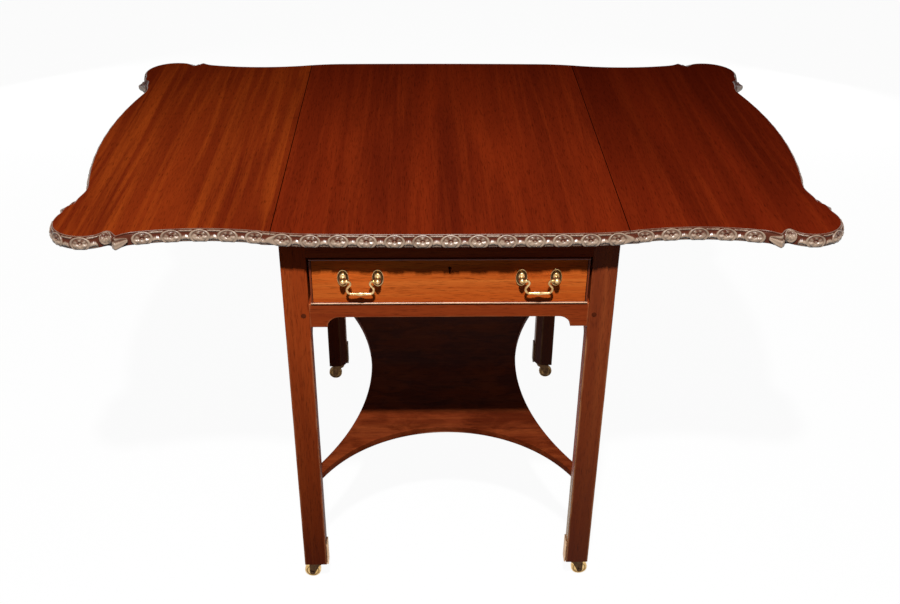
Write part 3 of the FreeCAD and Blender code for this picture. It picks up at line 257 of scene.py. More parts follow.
def post(low, high, inner):
    """Square post from low to high: at each height a ring with four corners, and each corner goes
    from a cut on one side to the same cut on the next, bulged to an arc where it is only worn and
    left straight where it is chamfered. inner is the number of the chamfered corner."""
    heights = np.concatenate([
        np.linspace(low[2], CHAMFER_END, 60), np.linspace(CHAMFER_END, CHAMFER_GONE, 18)[1:],
        np.linspace(CHAMFER_GONE, high[2], 20)[1:]])
    middle = (low[:2] + high[:2]) / 2
    half = (high[:2] - low[:2]) / 2
    inward = np.array([[1, 0], [0, 1], [-1, 0], [0, -1]], float)
    onward = np.roll(inward, -1, axis=0)
    diagonal = inward - onward
    ripple = np.sin(heights * SLOW_RIPPLE) + np.sin(heights * QUICK_RIPPLE + middle[0])
    cuts = np.repeat((LEG_ARRIS * (1 + RIPPLE_SHARE * ripple))[:, None], 4, axis=1)
    flat = 1 - ease(heights, CHAMFER_END, CHAMFER_GONE)
    cuts[:, inner] += (LEG_CHAMFER - LEG_ARRIS) * flat
    bulge = np.full(cuts.shape, ROUND_BULGE)
    bulge[:, inner] *= 1 - flat
    turn = np.linspace(0.0, 1.0, 7)
    forth = np.concatenate([[0.0], turn, [1.0]])[:, None]
    swell = np.concatenate([[0.0], np.sin(np.pi * turn), [0.0]])[:, None]
    reach = np.zeros(swell.shape)
    reach[[0, -1]] = WEAR_REACH
    cut = cuts[:, :, None, None]
    flank = (cut + reach) * (onward[:, None] * forth - inward[:, None] * (1 - forth))
    bow = diagonal[:, None] * (cut * bulge[:, :, None, None] * swell)
    plan = middle + (diagonal * half)[:, None] + flank + bow
    rings = grid(plan[..., 0], plan[..., 1], heights[:, None, None])
    wear = np.tile(ARRIS_WEAR, (len(heights), 4, 1))
    wear[:, inner] += flat[:, None] * (CHAMFER_WEAR - ARRIS_WEAR)
    wear *= 1 - UPPER_SPARED * (1 - flat)[:, None, None]
    return rings.reshape(len(heights), -1, 3), wear.reshape(len(heights), -1)


INNER_CORNER = {"front_left": 1, "front_right": 2, "back_right": 3, "back_left": 0}
for corner_name, inner in INNER_CORNER.items():
    rings, wear = post(*span(f"leg_{corner_name}"), inner)
    woods = [leg_woods[corner_name.split("_")[1]]]
    sides = np.zeros(rings.shape[1], int)
    # The painted floor reflection goes on that leg's inner side.
    if corner_name == FLOOR_REFLECTION_LEG:
        woods.append(floor_reflection_wood)
        sides[(inner + 1) * len(sides) // 4 - 1] = 1
    leg = skin(f"leg_{corner_name}_worn", rings, woods, wall=sides, sharp=40, wear=wear)
    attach(leg, "frame")
    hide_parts(f"leg_{corner_name}")

# Drawer rails: a plain upper rail under the top and a lower rail whose ends are sawn to small
# brackets, both tenoned into the front legs. Mahogany, with the grain along the rail.
RAIL_SOFT = 0.8
BRACKET_FLAT = 26.0
BRACKET_COVE = 18.5

rail_wood = timber(
    "rail_mahogany", tone(118, 42, 17), tone(146, 60, 24), tone(170, 80, 35), ALONG_X,
    (0.3, 2.4, 0.9), shine=0.03, worn=tone(176, 98, 58))


def dress(material, *names):
    """CAD nodes whose shape is right keep it and take this material."""
    for name in names:
        nodes[name].data.materials.clear()
        nodes[name].data.materials.append(material)


dress(rail_wood, "drawer_rail_upper")
FLANK_START, FLANK_MOST = 3.0, 0.45


def inset(loop, depth):
    """Closed loop moved inwards by depth: each point goes along the mean of its two sides' normals,
    far enough for both sides to keep that distance."""
    side = np.roll(loop, -1, axis=0) - loop
    side /= np.linalg.norm(side, axis=1)[:, None]
    normal = np.stack([-side[:, 1], side[:, 0]], axis=1)
    mean = normal + np.roll(normal, 1, axis=0)
    mean /= np.maximum((mean ** 2).sum(axis=1) / 2, 0.5)[:, None]
    return loop + depth * mean


def softened(loop, low, high, soft, axes):
    """Slab cut to a closed loop and rounded at both faces: rings go from the low face to the high
    one, drawn in by a quarter circle at each arris. axes names the two axes of the loop and the
    axis through the slab. The wear is 1 on the roundings and 0 a little way off them."""
    turn = np.linspace(0.0, np.pi / 2, 5)
    drawn = soft * (1 - np.sin(turn))
    risen = soft * (1 - np.cos(turn))
    ins = np.concatenate([[soft + WEAR_REACH], drawn, [0.0, 0.0], drawn[::-1], [soft + WEAR_REACH]])
    flank = min(FLANK_START * soft, FLANK_MOST * (high - low))
    rise = np.concatenate([[0.0], risen, [flank]])
    places = np.concatenate([low + rise, high - rise[::-1]])
    wear = np.concatenate([[0.0, 0.6], np.ones(4), [0.0, 0.0], np.ones(4), [0.6, 0.0]])
    rings = np.empty((len(ins), len(loop), 3))
    rings[..., axes[0]], rings[..., axes[1]] = np.moveaxis(
        np.array([inset(loop, depth) for depth in ins]), -1, 0)
    rings[..., axes[2]] = places[:, None]
    return rings, wear[:, None]


low, high = span("drawer_rail_lower")
leg_face = span("leg_front_right")[0][0]
opening_low = high[2]
arch_high = span("back_rail")[0][2]
cove = np.linspace(0.0, np.pi / 2, 12)
cove_x = leg_face - BRACKET_FLAT - BRACKET_COVE * (1 - np.cos(cove))
cove_z = low[2] + (arch_high - low[2]) * np.sin(cove)
cove_line = np.stack([cove_x, cove_z], axis=1)
flip_x = np.array([-1.0, 1.0])
rail_loop = np.concatenate([
    [[-leg_face, low[2]]], cove_line * flip_x, cove_line[::-1],
    [[leg_face, low[2]], [leg_face, opening_low], [-leg_face, opening_low]]])
rings, wear = softened(rail_loop, low[1], high[1], RAIL_SOFT, (0, 2, 1))
lower_rail = skin("lower_rail_shaped", rings, [rail_wood], sharp=40, wear=wear)
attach(lower_rail, "frame")
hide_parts("drawer_rail_lower")

# Frame rails: the side rails and the back rail behind the legs are tenoned mahogany, left dull,
# and the oak runners, kickers, stops and glue blocks inside are pinned or glued to them.
inner_wood = timber(
    "inner_mahogany", tone(74, 30, 16), tone(104, 46, 24), tone(122, 62, 34), ALONG_Y,
    (1.7, 0.2, 2.6), rough=(0.5, 0.65))
oak = timber(
    "drawer_oak", tone(120, 84, 50), tone(156, 116, 74), tone(178, 140, 96), ALONG_Y,
    (0.6, 1.9, 3.3), rough=(0.55, 0.7))
dress(inner_wood, "side_rail_left", "side_rail_right", "back_rail")
dress(oak, "drawer_runners", "drawer_kickers", "drawer_stops", "glue_blocks")

# Pegs: a round dowel driven through each front and back leg into the tenon. The end grain stands
# a little proud and has drunk up more stain than the leg.
peg_wood = timber(
    "peg_mahogany", tone(64, 25, 13), tone(92, 38, 19), tone(104, 48, 26), ALONG_Y,
    (0.9, 3.9, 0.1), rough=(0.45, 0.6))
dress(peg_wood, "joint_pegs")

# Shelf: one thin mahogany board between the legs, sawn to four hollow sides, its corners let into
# the chamfers of the legs. The back is hollowed less than the front, the middle of the lower front
# arris is rubbed pale, and the polish is blotched.
SHELF_SOFT = 1.6
SHELF_STEPS = 48
SIDE_HOLLOW, FRONT_HOLLOW, BACK_HOLLOW = 138.0, 173.0, 200.0
RUBBED_HALF = 62.0

shelf_wood = timber(
    "shelf_mahogany", tone(104, 41, 18), tone(132, 56, 23), tone(152, 76, 36), ALONG_X,
    (2.2, 1.1, 0.4), shine=0.01, worn=tone(214, 150, 112), streak=0.4,
    stain=tone(198, 184, 178))


def bell(value, centre, width):
    """Bell curve of height 1."""
    return np.exp(-((value - centre) / width) ** 2)


def arc(start, through, end, count):
    """Points on the circle through three points, from start to just before end: the centre comes
    from the ratio of the two chords as complex numbers, and the angle runs evenly."""
    a, b, c = (complex(*point) for point in (start, through, end))
    ratio = (c - a) / (b - a)
    centre = a + (b - a) * (ratio - abs(ratio) ** 2) / (2j * ratio.imag)
    part = np.angle((b - centre) / (a - centre))
    sweep = np.angle((c - centre) / (a - centre))
    if sweep * part < 0:
        sweep += 2 * np.pi * np.sign(part)
    turn = np.exp(1j * sweep * np.arange(count) / count)
    points = centre + (a - centre) * turn
    return np.stack([points.real, points.imag], axis=1)


shelf_low, shelf_high = span("shelf")
leg_low = span("leg_back_right")[0]
chamfer_near = np.array([leg_low[0] + LEG_CHAMFER, leg_low[1]])
chamfer_far = np.array([leg_low[0], leg_low[1] + LEG_CHAMFER])
flip_y = -flip_x
shelf_loop = np.concatenate([
    arc(chamfer_near * flip_y, (SIDE_HOLLOW, 0.0), chamfer_near, SHELF_STEPS), [chamfer_near],
    arc(chamfer_far, (0.0, BACK_HOLLOW), chamfer_far * flip_x, SHELF_STEPS), [chamfer_far * flip_x],
    arc(chamfer_near * flip_x, (-SIDE_HOLLOW, 0.0), -chamfer_near, SHELF_STEPS), [-chamfer_near],
    arc(-chamfer_far, (0.0, -FRONT_HOLLOW), chamfer_far * flip_y, SHELF_STEPS),
    [chamfer_far * flip_y]])
rings, wear = softened(shelf_loop, shelf_low[2], shelf_high[2], SHELF_SOFT, (0, 1, 2))
rubbed = bell(shelf_loop[:, 0], 0.0, RUBBED_HALF) * (shelf_loop[:, 1] < 0)
wear = wear * (rings[..., 2] < (shelf_low[2] + shelf_high[2]) / 2) * rubbed
shelf = skin("shelf_hollow_sided", rings, [shelf_wood], sharp=40, wear=wear)
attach(shelf, "frame")
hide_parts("shelf")

# Casters: turned brass wheels, each on an axle between the cheeks of a horn, which swivels on a
# plate screwed under the leg, and a strap up the leg's inner face. Horns, axles and plates are
# tarnished nearly black, and the back wheels and straps are darker brass than the bright front
# ones.
WHEEL_PROFILE = np.array([
    (-6.5, 3.0), (-6.5, 7.6), (-5.9, 8.6), (-4.9, 9.2), (-4.6, 10.4), (-5.2, 11.4), (-5.2, 12.6),
    (-4.4, 13.6), (-3.0, 14.0), (0.0, 14.0), (3.0, 14.0), (4.4, 13.6), (5.2, 12.6), (5.2, 11.4),
    (4.6, 10.4), (4.9, 9.2), (5.9, 8.6), (6.5, 7.6), (6.5, 3.0)])
WHEEL_POINTS = 56
GROOVE_RADIUS, GROOVE_WIDE = 10.4, 1.2
STRAP_OUTLINE = np.array([(298.0, 39.0), (316.0, 39.0), (316.0, 87.0), (298.0, 87.0)])
STRAP_THICK, STRAP_SOFT, STRAP_DULL = 3.0, 0.9, 0.4
METAL_PATCHES, SPECKS, SPECK_DEPTH = (130.0, 150.0, 4.0, 0.6), (900.0, 900.0, 2.0, 0.2), 0.0002


def old_metal(name, bright, dull, brown, rough=(0.22, 0.42)):
    """Old metal: bright and dull patches, and brown tarnish where the point value hollow is high,
    with a fine casting grain pressed into the surface."""
    made, tree = surface(name)
    patches = drawn_noise(tree, ALONG_Z, (0.3, 0.8, 0.2), METAL_PATCHES)
    specks = drawn_noise(tree, ALONG_Z, (1.1, 0.3, 0.7), SPECKS)
    colour = ramp(tree, patches, (0.36, dull), (0.62, bright))
    hollow = node(tree, "ShaderNodeAttribute", attribute_name="hollow").outputs["Fac"]
    colour = mixed(tree, ranged(tree, hollow, 0.15, 1.0, 0.0, 0.92), colour, brown)
    spots = ramp(tree, specks, (0.26, tone(170, 150, 120)), (0.42, WHITE))
    colour = mixed(tree, 1.0, colour, spots, "MULTIPLY")
    finished(tree, colour, ranged(tree, patches, 0.3, 0.7, *rough), specks, 0.2, SPECK_DEPTH,
             {"Metallic": 1.0})
    return made


wheel_brass = old_metal("wheel_brass", tone(240, 206, 146), tone(206, 164, 98), tone(84, 54, 28))
strap_brass = old_metal("strap_brass", tone(232, 196, 158), tone(198, 158, 122), tone(84, 54, 28),
                        rough=(0.4, 0.55))
dull_brass = old_metal("dull_brass", tone(132, 102, 62), tone(66, 46, 28), tone(36, 22, 14),
                       rough=(0.36, 0.5))
tarnished_brass = old_metal("tarnished_brass", tone(92, 66, 42), tone(56, 38, 24), tone(36, 22, 14),
                            rough=(0.42, 0.6))


def turned(profile, points, centre, axis):
    """Turned piece: each row of the profile is a place along the axis and a radius, and it is
    swept round a full circle about that axis through centre."""
    angle = np.linspace(0.0, 2 * np.pi, points, endpoint=False)
    first, second = (axis + 1) % 3, (axis + 2) % 3
    rings = np.empty((len(profile), points, 3))
    rings[..., axis] = profile[:, :1]
    rings[..., first] = profile[:, 1:] * np.cos(angle)
    rings[..., second] = profile[:, 1:] * np.sin(angle)
    return centre + rings


for corner_name in INNER_CORNER:
    low, high = span(f"caster_wheel_{corner_name}")
    rings = turned(WHEEL_PROFILE, WHEEL_POINTS, (low + high) / 2, ALONG_Y)
    wheel_metal, strap_metal = wheel_brass, strap_brass
    if corner_name.startswith("back"):
        wheel_metal, strap_metal = dull_brass, tarnished_brass
    wheel = skin(f"wheel_{corner_name}_turned", rings, [wheel_metal], sharp=50,
                 hollow=bell(WHEEL_PROFILE[:, 1:], GROOVE_RADIUS, GROOVE_WIDE))
    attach(wheel, f"wheel_{corner_name}")
    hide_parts(f"caster_wheel_{corner_name}")
    dress(tarnished_brass, f"caster_horn_{corner_name}", f"caster_axle_{corner_name}")
    side, end = np.sign(low[:2]).astype(int)
    strap_x = np.sort(side * np.array([leg_face - STRAP_THICK, leg_face]))
    rings, wear = softened((STRAP_OUTLINE * (end, 1))[::end], *strap_x, STRAP_SOFT, (1, 2, 0))
    strap = skin(f"caster_strap_{corner_name}", rings, [strap_metal], sharp=50,
                 hollow=STRAP_DULL * (1 - wear))
    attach(strap, "frame")
dress(tarnished_brass, "caster_plates", "caster_screws")

# Drawer: a mahogany front with the grain along it, oak sides, back and bottom, and a small cut
# keyhole with an iron lock behind it.
drawer_wood = timber(
    "drawer_mahogany", tone(179, 76, 25), tone(216, 104, 37), tone(238, 138, 60), ALONG_X,
    (4.2, 0.7, 1.6), shine=0.01, streak=0.45)
dress(drawer_wood, "drawer_front")
dress(oak, "drawer_side_left", "drawer_side_right", "drawer_back", "drawer_bottom")
iron = old_metal("dark_iron", tone(72, 67, 63), tone(44, 40, 38), tone(40, 24, 14), (0.45, 0.6))
dress(iron, "lock_case", "lock_bolt", "handle_nuts")

# Cock beads: four thin strips of mahogany round the drawer front, glued into a rebate. Each has
# a half-round nose that stands proud of the front. The side ones have shrunk away from the legs and
# carry painted shade along their inner flanks; the lowest carries a pale painted highlight along
# its crown.
BEAD_POINTS, BEAD_STEPS = 11, 60
BEAD_SHRUNK, SIDE_BEAD_WIDE = 2.4, 3.8
LOWEST_HIGHLIGHT, FLANK_SHADE, FLANK_SHADE_EDGE = 1.4, 1.8, (0.3, 0.8)

# Painted highlight: the worn colour here is the pale highlight on the lowest bead's crown.
bead_wood = timber(
    "bead_mahogany", tone(104, 38, 16), tone(132, 54, 23), tone(156, 76, 38), ALONG_X,
    (0.5, 5.2, 0.3), shine=0.25, rough=(0.25, 0.36), worn=tone(250, 200, 162))
# Painted shade: the dark worn colour here darkens the side beads' inner flanks, where they meet the
# front.
side_bead_wood = timber(
    "side_bead_mahogany", tone(104, 38, 16), tone(132, 54, 23), tone(156, 76, 38), ALONG_Z,
    (0.9, 3.1, 0.6), shine=0.08, rough=(0.25, 0.36), worn=tone(34, 13, 7))


def bead(low, high, run, thick):
    """Strip of half-round section between two corners: the back is square, the front a half circle
    across the thickness, and the section is carried along run. Also gives, for each point of the
    section, how far it is on the crown, and how far it is towards the high flank, from -1 to 1."""
    half = (high[thick] - low[thick]) / 2
    turn = np.linspace(-np.pi / 2, np.pi / 2, BEAD_POINTS)
    across = (low[thick] + high[thick]) / 2 + half * np.sin(turn)
    out = low[ALONG_Y] + half * (1 - np.cos(turn))
    across = np.concatenate([across, [high[thick], low[thick]]])
    out = np.concatenate([out, [high[ALONG_Y], high[ALONG_Y]]])
    rings = np.empty((BEAD_STEPS, len(out), 3))
    rings[..., ALONG_Y] = out
    rings[..., thick] = across
    rings[..., run] = np.linspace(low[run], high[run], BEAD_STEPS)[:, None]
    crown = np.concatenate([np.cos(turn) ** 2, [0.0, 0.0]])
    flank = np.concatenate([np.sin(turn), [0.0, 0.0]])
    return rings, crown[None, :], flank[None, :]


shrunk_ends = np.array([[BEAD_SHRUNK, 0.0, 0.0], [-BEAD_SHRUNK, 0.0, 0.0]])
# Only the lowest bead's crown takes the painted highlight.
for node_name, highlight in (("cock_bead_top", 0.0), ("cock_bead_bottom", LOWEST_HIGHLIGHT)):
    rings, crown, _ = bead(*(span(node_name) + shrunk_ends), ALONG_X, ALONG_Z)
    strip = skin(f"{node_name}_rounded", rings, [bead_wood], sharp=60, wear=highlight * crown)
    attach(strip, "drawer")
    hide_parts(node_name)

low, high = span("cock_beads_side") + shrunk_ends
for side_name, towards, near, far in (("left", 1.0, low[0], low[0] + SIDE_BEAD_WIDE),
                                      ("right", -1.0, high[0] - SIDE_BEAD_WIDE, high[0])):
    rings, _, flank = bead(np.array([near, *low[1:]]), np.array([far, *high[1:]]), ALONG_Z, ALONG_X)
    # The side beads' inner flanks take the painted shade.
    strip = skin(f"cock_bead_{side_name}_rounded", rings, [side_bead_wood], sharp=60,
                 wear=FLANK_SHADE * ease(towards * flank, *FLANK_SHADE_EDGE))
    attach(strip, "drawer")
    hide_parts("cock_beads_side")

# Handles: two cast brass bails. Each hangs between the bulbs of two turned posts, which pass
# through dished oval rosettes and are held by nuts inside the drawer.
POST_HALF = 25.5
ROSETTE_PROFILE = np.array([
    (1.0, 0.0), (1.0, 1.2), (0.985, 1.8), (0.955, 2.1), (0.92, 2.0), (0.89, 1.5), (0.86, 0.9),
    (0.80, 0.6), (0.70, 0.5), (0.60, 0.6), (0.54, 0.9), (0.49, 1.2), (0.45, 1.0), (0.40, 0.8),
    (0.34, 1.0), (0.30, 1.5), (0.26, 1.8)])
ROSETTE_POINTS = 64
POST_PROFILE = np.array([
    (0.5, 4.2), (1.4, 4.7), (2.6, 4.8), (3.7, 4.4), (4.6, 3.6), (5.4, 3.0), (6.3, 2.9), (7.2, 3.3),
    (8.4, 4.1), (9.8, 4.7), (11.4, 4.8), (13.0, 4.4), (14.4, 3.6), (15.4, 2.8), (16.2, 1.9),
    (16.6, 1.1), (16.8, 0.4)])
POST_POINTS = 40
BASE_RISE, BASE_STRETCH, BASE_PLACE = 2.6, 0.35, (2.2, 1.8)
NECK_DULL, NECK_PLACE, DISH_INNER, DISH_OUTER = 0.7, (5.9, 1.3), (0.26, 0.36), (0.88, 0.93)

handle_brass = old_metal("handle_brass", tone(232, 198, 144), tone(182, 140, 84), tone(54, 33, 17),
                         rough=(0.27, 0.43))
rosette_low, rosette_high = span("handle_rosettes")
bail_low, bail_high = span("handle_bail_right")
handle_x = (bail_low[0] + bail_high[0]) / 2
post_z = (rosette_low[2] + rosette_high[2]) / 2
bail_y = (bail_low[1] + bail_high[1]) / 2
front_y = rosette_high[1]
rosette_wide = rosette_high[0] - handle_x - POST_HALF
rosette_tall = (rosette_high[2] - rosette_low[2]) / 2
SIDES = (("left", -1.0), ("right", 1.0))


def rosette(x):
    """Dished oval plate: the same oval drawn smaller ring by ring, each at its height in front of
    the drawer, so that rim, groove and inner bead come from the profile."""
    angle = np.linspace(0.0, 2 * np.pi, ROSETTE_POINTS, endpoint=False)
    size, height = ROSETTE_PROFILE[:, :1], ROSETTE_PROFILE[:, 1:]
    return grid(x + rosette_wide * size * np.cos(angle), front_y - height,
                post_z + rosette_tall * size * np.sin(angle))


sunk = ease(ROSETTE_PROFILE[:, :1], *DISH_INNER) * (1 - ease(ROSETTE_PROFILE[:, :1], *DISH_OUTER))
neck = NECK_DULL * bell(POST_PROFILE[:, :1], *NECK_PLACE)
base = bell(POST_PROFILE[:, :1], *BASE_PLACE)
for side_name, side in SIDES:
    for flank_name, flank in (("outer", 1), ("inner", -1)):
        x = side * (handle_x + flank * POST_HALF)
        plate = skin(f"rosette_{side_name}_{flank_name}", rosette(x), [handle_brass], hollow=sunk)
        rings = turned(POST_PROFILE * flip_x, POST_POINTS, np.array([x, front_y, post_z]), ALONG_Y)
        rings[..., 2] += base * (BASE_RISE + BASE_STRETCH * (rings[..., 2] - post_z))
        knob = skin(f"handle_post_{side_name}_{flank_name}", rings, [handle_brass], hollow=neck)
        for part, stands_for in ((plate, "handle_rosettes"), (knob, "handle_posts")):
            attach(part, "drawer")
            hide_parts(stands_for)

BAIL_POINTS, BAIL_STEPS = 18, 70
BAIL_NECK, BAIL_BAR, BAIL_SWELL, BAIL_BALL = 1.8, 0.5, 0.95, 1.2
BAR_FADE, SWELL_FADE, BALL_PLACE = (0.12, 0.42), (0.0, 0.16), (0.86, 0.045)
BAIL_LOOP_IN, BAIL_LOOP, BAIL_TURN = 7.0, 4.2, np.radians(40.0)
BAIL_PAST, BAIL_RUN, BAIL_BEND = 1.0, 4.5, 6.5


def walked(path):
    """Distance gone at each point of a path."""
    return np.concatenate([[0.0], np.cumsum(np.linalg.norm(np.diff(path, axis=0), axis=1))])


def even(path, count):
    """Path taken again at so many even steps, with the distance gone at each point."""
    gone = walked(path)
    places = np.linspace(0.0, gone[-1], count)
    return np.stack([np.interp(places, gone, path[:, k]) for k in range(2)], axis=1), places


def bail_route():
    """Line of half a bail from its pivot to the middle of its bar, in x and z from the handle's
    centre, at even steps: in from the post, round the swan neck, out down a straight run, round the
    lower corner and along the bar."""
    loop_x = POST_HALF - BAIL_LOOP_IN
    neck_turn = np.linspace(np.pi / 2, np.pi + BAIL_TURN, 30)
    neck_line = np.stack([loop_x + BAIL_LOOP * np.cos(neck_turn),
                          BAIL_LOOP * (np.sin(neck_turn) - 1)], axis=1)
    run_end = neck_line[-1] + BAIL_RUN * np.array([np.sin(BAIL_TURN), -np.cos(BAIL_TURN)])
    bend = run_end - BAIL_BEND * np.array([np.cos(BAIL_TURN), np.sin(BAIL_TURN)])
    bend_turn = np.linspace(BAIL_TURN, -np.pi / 2, 30)
    bend_line = bend + BAIL_BEND * np.stack([np.cos(bend_turn), np.sin(bend_turn)], axis=1)
    line = np.concatenate([
        [[POST_HALF + BAIL_PAST, 0.0]], neck_line, bend_line, [[0.0, bend_line[-1, 1]]]])
    return even(line, BAIL_STEPS)[0]


def outward(path):
    """Unit normals on the right-hand side of a path."""
    ahead = np.gradient(path, axis=0)
    ahead /= np.linalg.norm(ahead, axis=1)[:, None]
    return np.stack([ahead[:, 1], -ahead[:, 0]], axis=1)


def bail(middle_x):
    """Cast bail: a round section carried along the route and its mirror image, thin at the necks,
    with a ball on each shoulder, a stouter bar and a swelling in the middle of it."""
    half = bail_route()
    route = np.concatenate([half, half[-2::-1] * flip_x])
    share = np.abs(np.linspace(-1.0, 1.0, len(route)))
    radius = (BAIL_NECK + BAIL_BAR * (1 - ease(share, *BAR_FADE))
              + BAIL_SWELL * (1 - ease(share, *SWELL_FADE)) + BAIL_BALL * bell(share, *BALL_PLACE))
    across = -outward(route)
    angle = np.linspace(0.0, 2 * np.pi, BAIL_POINTS, endpoint=False)
    ring = radius[:, None] * np.cos(angle)
    return grid(middle_x + route[:, :1] + across[:, :1] * ring,
                bail_y + radius[:, None] * np.sin(angle),
                post_z + route[:, 1:] + across[:, 1:] * ring)


for side_name, side in SIDES:
    handle = skin(f"bail_{side_name}_swelled", bail(side * handle_x), [handle_brass], hollow=0.0)
    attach(handle, f"bail_{side_name}")
    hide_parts(f"handle_bail_{side_name}")

# Top: a mahogany board with the grain from front to back, screwed to the frame, with a rounded nose
# along both sides, over which the leaves turn. The front and back edges are ovolos, widest near the
# underside, and carved with petalled ovals and arched bridges between them.
board_low, board_high = span("top_board")
pin_low, pin_high = span("hinge_pins")
leaf_edge_x = span("leaf_right")[0][0]
JOINT_GAP = 0.4
PIN_RADIUS = (pin_high[2] - pin_low[2]) / 2
PIN_X, PIN_Z = pin_high[0] - PIN_RADIUS, (pin_high[2] + pin_low[2]) / 2
NOSE = board_high[0] - PIN_X
LEAF_HOLLOW = NOSE + JOINT_GAP
board_edge_x = 2 * PIN_X - leaf_edge_x
WELL_ENDS = (179.6, 220.4)
WELL_STEP, WELL_MARGIN = 0.05, 1.0
WELL_HALF = 3.4
WELL_SIDE, WELL_TOP = PIN_X - WELL_HALF, PIN_Z + WELL_HALF
JOINT_END = 338.0
JOINT_ARRIS, JOINT_ARRIS_TALL = 0.5, 0.9

EDGE_STEP = 0.65
LOWER_ROWS, UPPER_ROWS = 9, 33
LOWER_SQUARE, UPPER_SQUARE = 2.4, 2.3
WIDEST_RISE, WIDEST_UP, BEAK_SHARE = 4.5, -0.455, 0.75
BAND_IN = 6.0
LIP_TONE, LIP_DEEP = 0.6, -0.6
BOARD_FADE, LEAF_FADE = 7.0, 16.0
UNDER_CLEAR = 0.15
GROUND, CREST = -2.6, -0.5
REPEAT, OVAL_HALF, FRONT_BESIDE = 39.4, 14.8, 6

lower_turn = np.linspace(np.pi / 2, 0.0, LOWER_ROWS)
upper_turn = np.linspace(0.0, np.pi / 2, UPPER_ROWS)[1:]
edge_out = np.concatenate([np.cos(lower_turn).clip(0.0) ** (2 / LOWER_SQUARE),
                           np.cos(upper_turn).clip(0.0) ** (2 / UPPER_SQUARE)])
edge_rise = np.concatenate([
    WIDEST_RISE * (1 - np.sin(lower_turn) ** (2 / LOWER_SQUARE)),
    WIDEST_RISE + (board_high[2] - board_low[2] - WIDEST_RISE)
    * np.sin(upper_turn) ** (2 / UPPER_SQUARE)])
edge_z = board_low[2] + np.maximum(edge_rise, UNDER_CLEAR)
EDGE_ROWS = len(edge_z)
is_lower = np.arange(EDGE_ROWS) < LOWER_ROWS


def stepped(path):
    """Path taken again at about EDGE_STEP, with the distance gone at each point."""
    return even(path, int(walked(path)[-1] / EDGE_STEP))


def smoothed(path, width):
    """Path averaged with a bell-shaped weight, width in mm. Each end is carried on by its own
    mirror image through the end point, so both ends stay."""
    reach = int(3.5 * width / EDGE_STEP)
    weight = np.exp(-0.5 * (np.arange(-reach, reach + 1) * EDGE_STEP / width) ** 2)
    carried = np.concatenate([2 * path[0] - path[reach:0:-1], path,
                              2 * path[-1] - path[-2:-reach - 2:-1]])
    return np.stack([np.convolve(carried[:, k], weight / weight.sum(), "valid") for k in range(2)],
                    axis=1)


section = np.stack([BAND_IN * edge_out, edge_rise], axis=1)
edge_lean = outward(section)
edge_gone = walked(section)
edge_up = np.interp(edge_gone, edge_gone[[0, LOWER_ROWS - 1, -1]], [-1.0, WIDEST_UP, 1.0])


def nearest(gone, centres):
    """Signed distance along the edge to the nearest of the centres, and which one that is."""
    away = gone[None, :] - np.array(centres)[:, None]
    which = np.abs(away).argmin(axis=0)
    return np.take_along_axis(away, which[None, :], axis=0)[0], which


def row(middle, beside):
    """Places of a row of ovals with so many beside the middle one on either side, and of bridges
    between them and after the last ones."""
    return (middle + REPEAT * np.arange(-beside, beside + 1),
            middle + REPEAT * (np.arange(-beside - 1, beside + 1) + 0.5))


OVAL_FIELD, OVAL_WALL, OVAL_GROOVE, GROOVE_DEEP = (0.66, 0.8), (0.94, 1.08), (0.75, 0.06), 1.1
FIELD_TALL, FIELD_LEAN, FIELD_SLOPE, RIM_LEAN = 0.4, 1.8, (-0.26, 0.2), 0.4
PETALS, PETAL_RING, PETAL_TALL, PETAL_TURN, TURN_PACE = 6, (0.48, 0.15), 0.55, 3.0, 12.9
PIT_RING, PIT_DEEP, DOT, DOT_TALL = (0.17, 0.09), 1.4, (0.0, 0.08), 0.8


def petalled_ovals(gone, up, centres, halves, middle=-0.03, tall=0.9):
    """Ovals by the elliptic radius from their centre: a steep wall, a raised rim, a groove, and a
    field whose upper half lies back and whose lower half stands forward, cut into six petals,
    turned a little differently in each oval, round a pit with a dot."""
    away, which = nearest(gone, centres)
    along = (away / np.broadcast_to(halves, len(centres))[which])[None, :]
    high = (up - middle) / tall
    radius = np.hypot(along, high)
    turns = PETAL_TURN * np.sin(TURN_PACE * which)[None, :]
    petals = np.cos(PETALS * np.arctan2(high, along) + turns)
    field = 1 - ease(radius, *OVAL_FIELD)
    face = (field * (FIELD_TALL - FIELD_LEAN * ease(high, *FIELD_SLOPE))
            - (1 - field) * RIM_LEAN * high - GROOVE_DEEP * bell(radius, *OVAL_GROOVE)
            + PETAL_TALL * petals * bell(radius, *PETAL_RING)
            - PIT_DEEP * bell(radius, *PIT_RING) + DOT_TALL * bell(radius, *DOT))
    body = 1 - ease(radius, *OVAL_WALL)
    return GROUND + body * (face - GROUND)


BRIDGE_HALF, BRIDGE_FLARE, BRIDGE_WALL = 5.0, 2.4, (0.8, 1.1)
BRIDGE_HEAD, HEAD_RISE = 4.0, (0.3, 0.8)
ARCH_TALL, ARCH_UP, ARCH_BEND, ARCH_BACK, ARCH_SLOPE = 0.5, 0.10, 0.16, 3.1, (-0.28, 0.22)
HOLLOW_DEEP, HOLLOW_WALL, RIBS, RIB_TALL = 2.0, (0.32, 0.5), 3, 0.1
COLLAR, COLLAR_TALL, FLARE, FLARE_TALL = (0.70, 0.15), 2.0, (-0.74, 0.14), 0.9


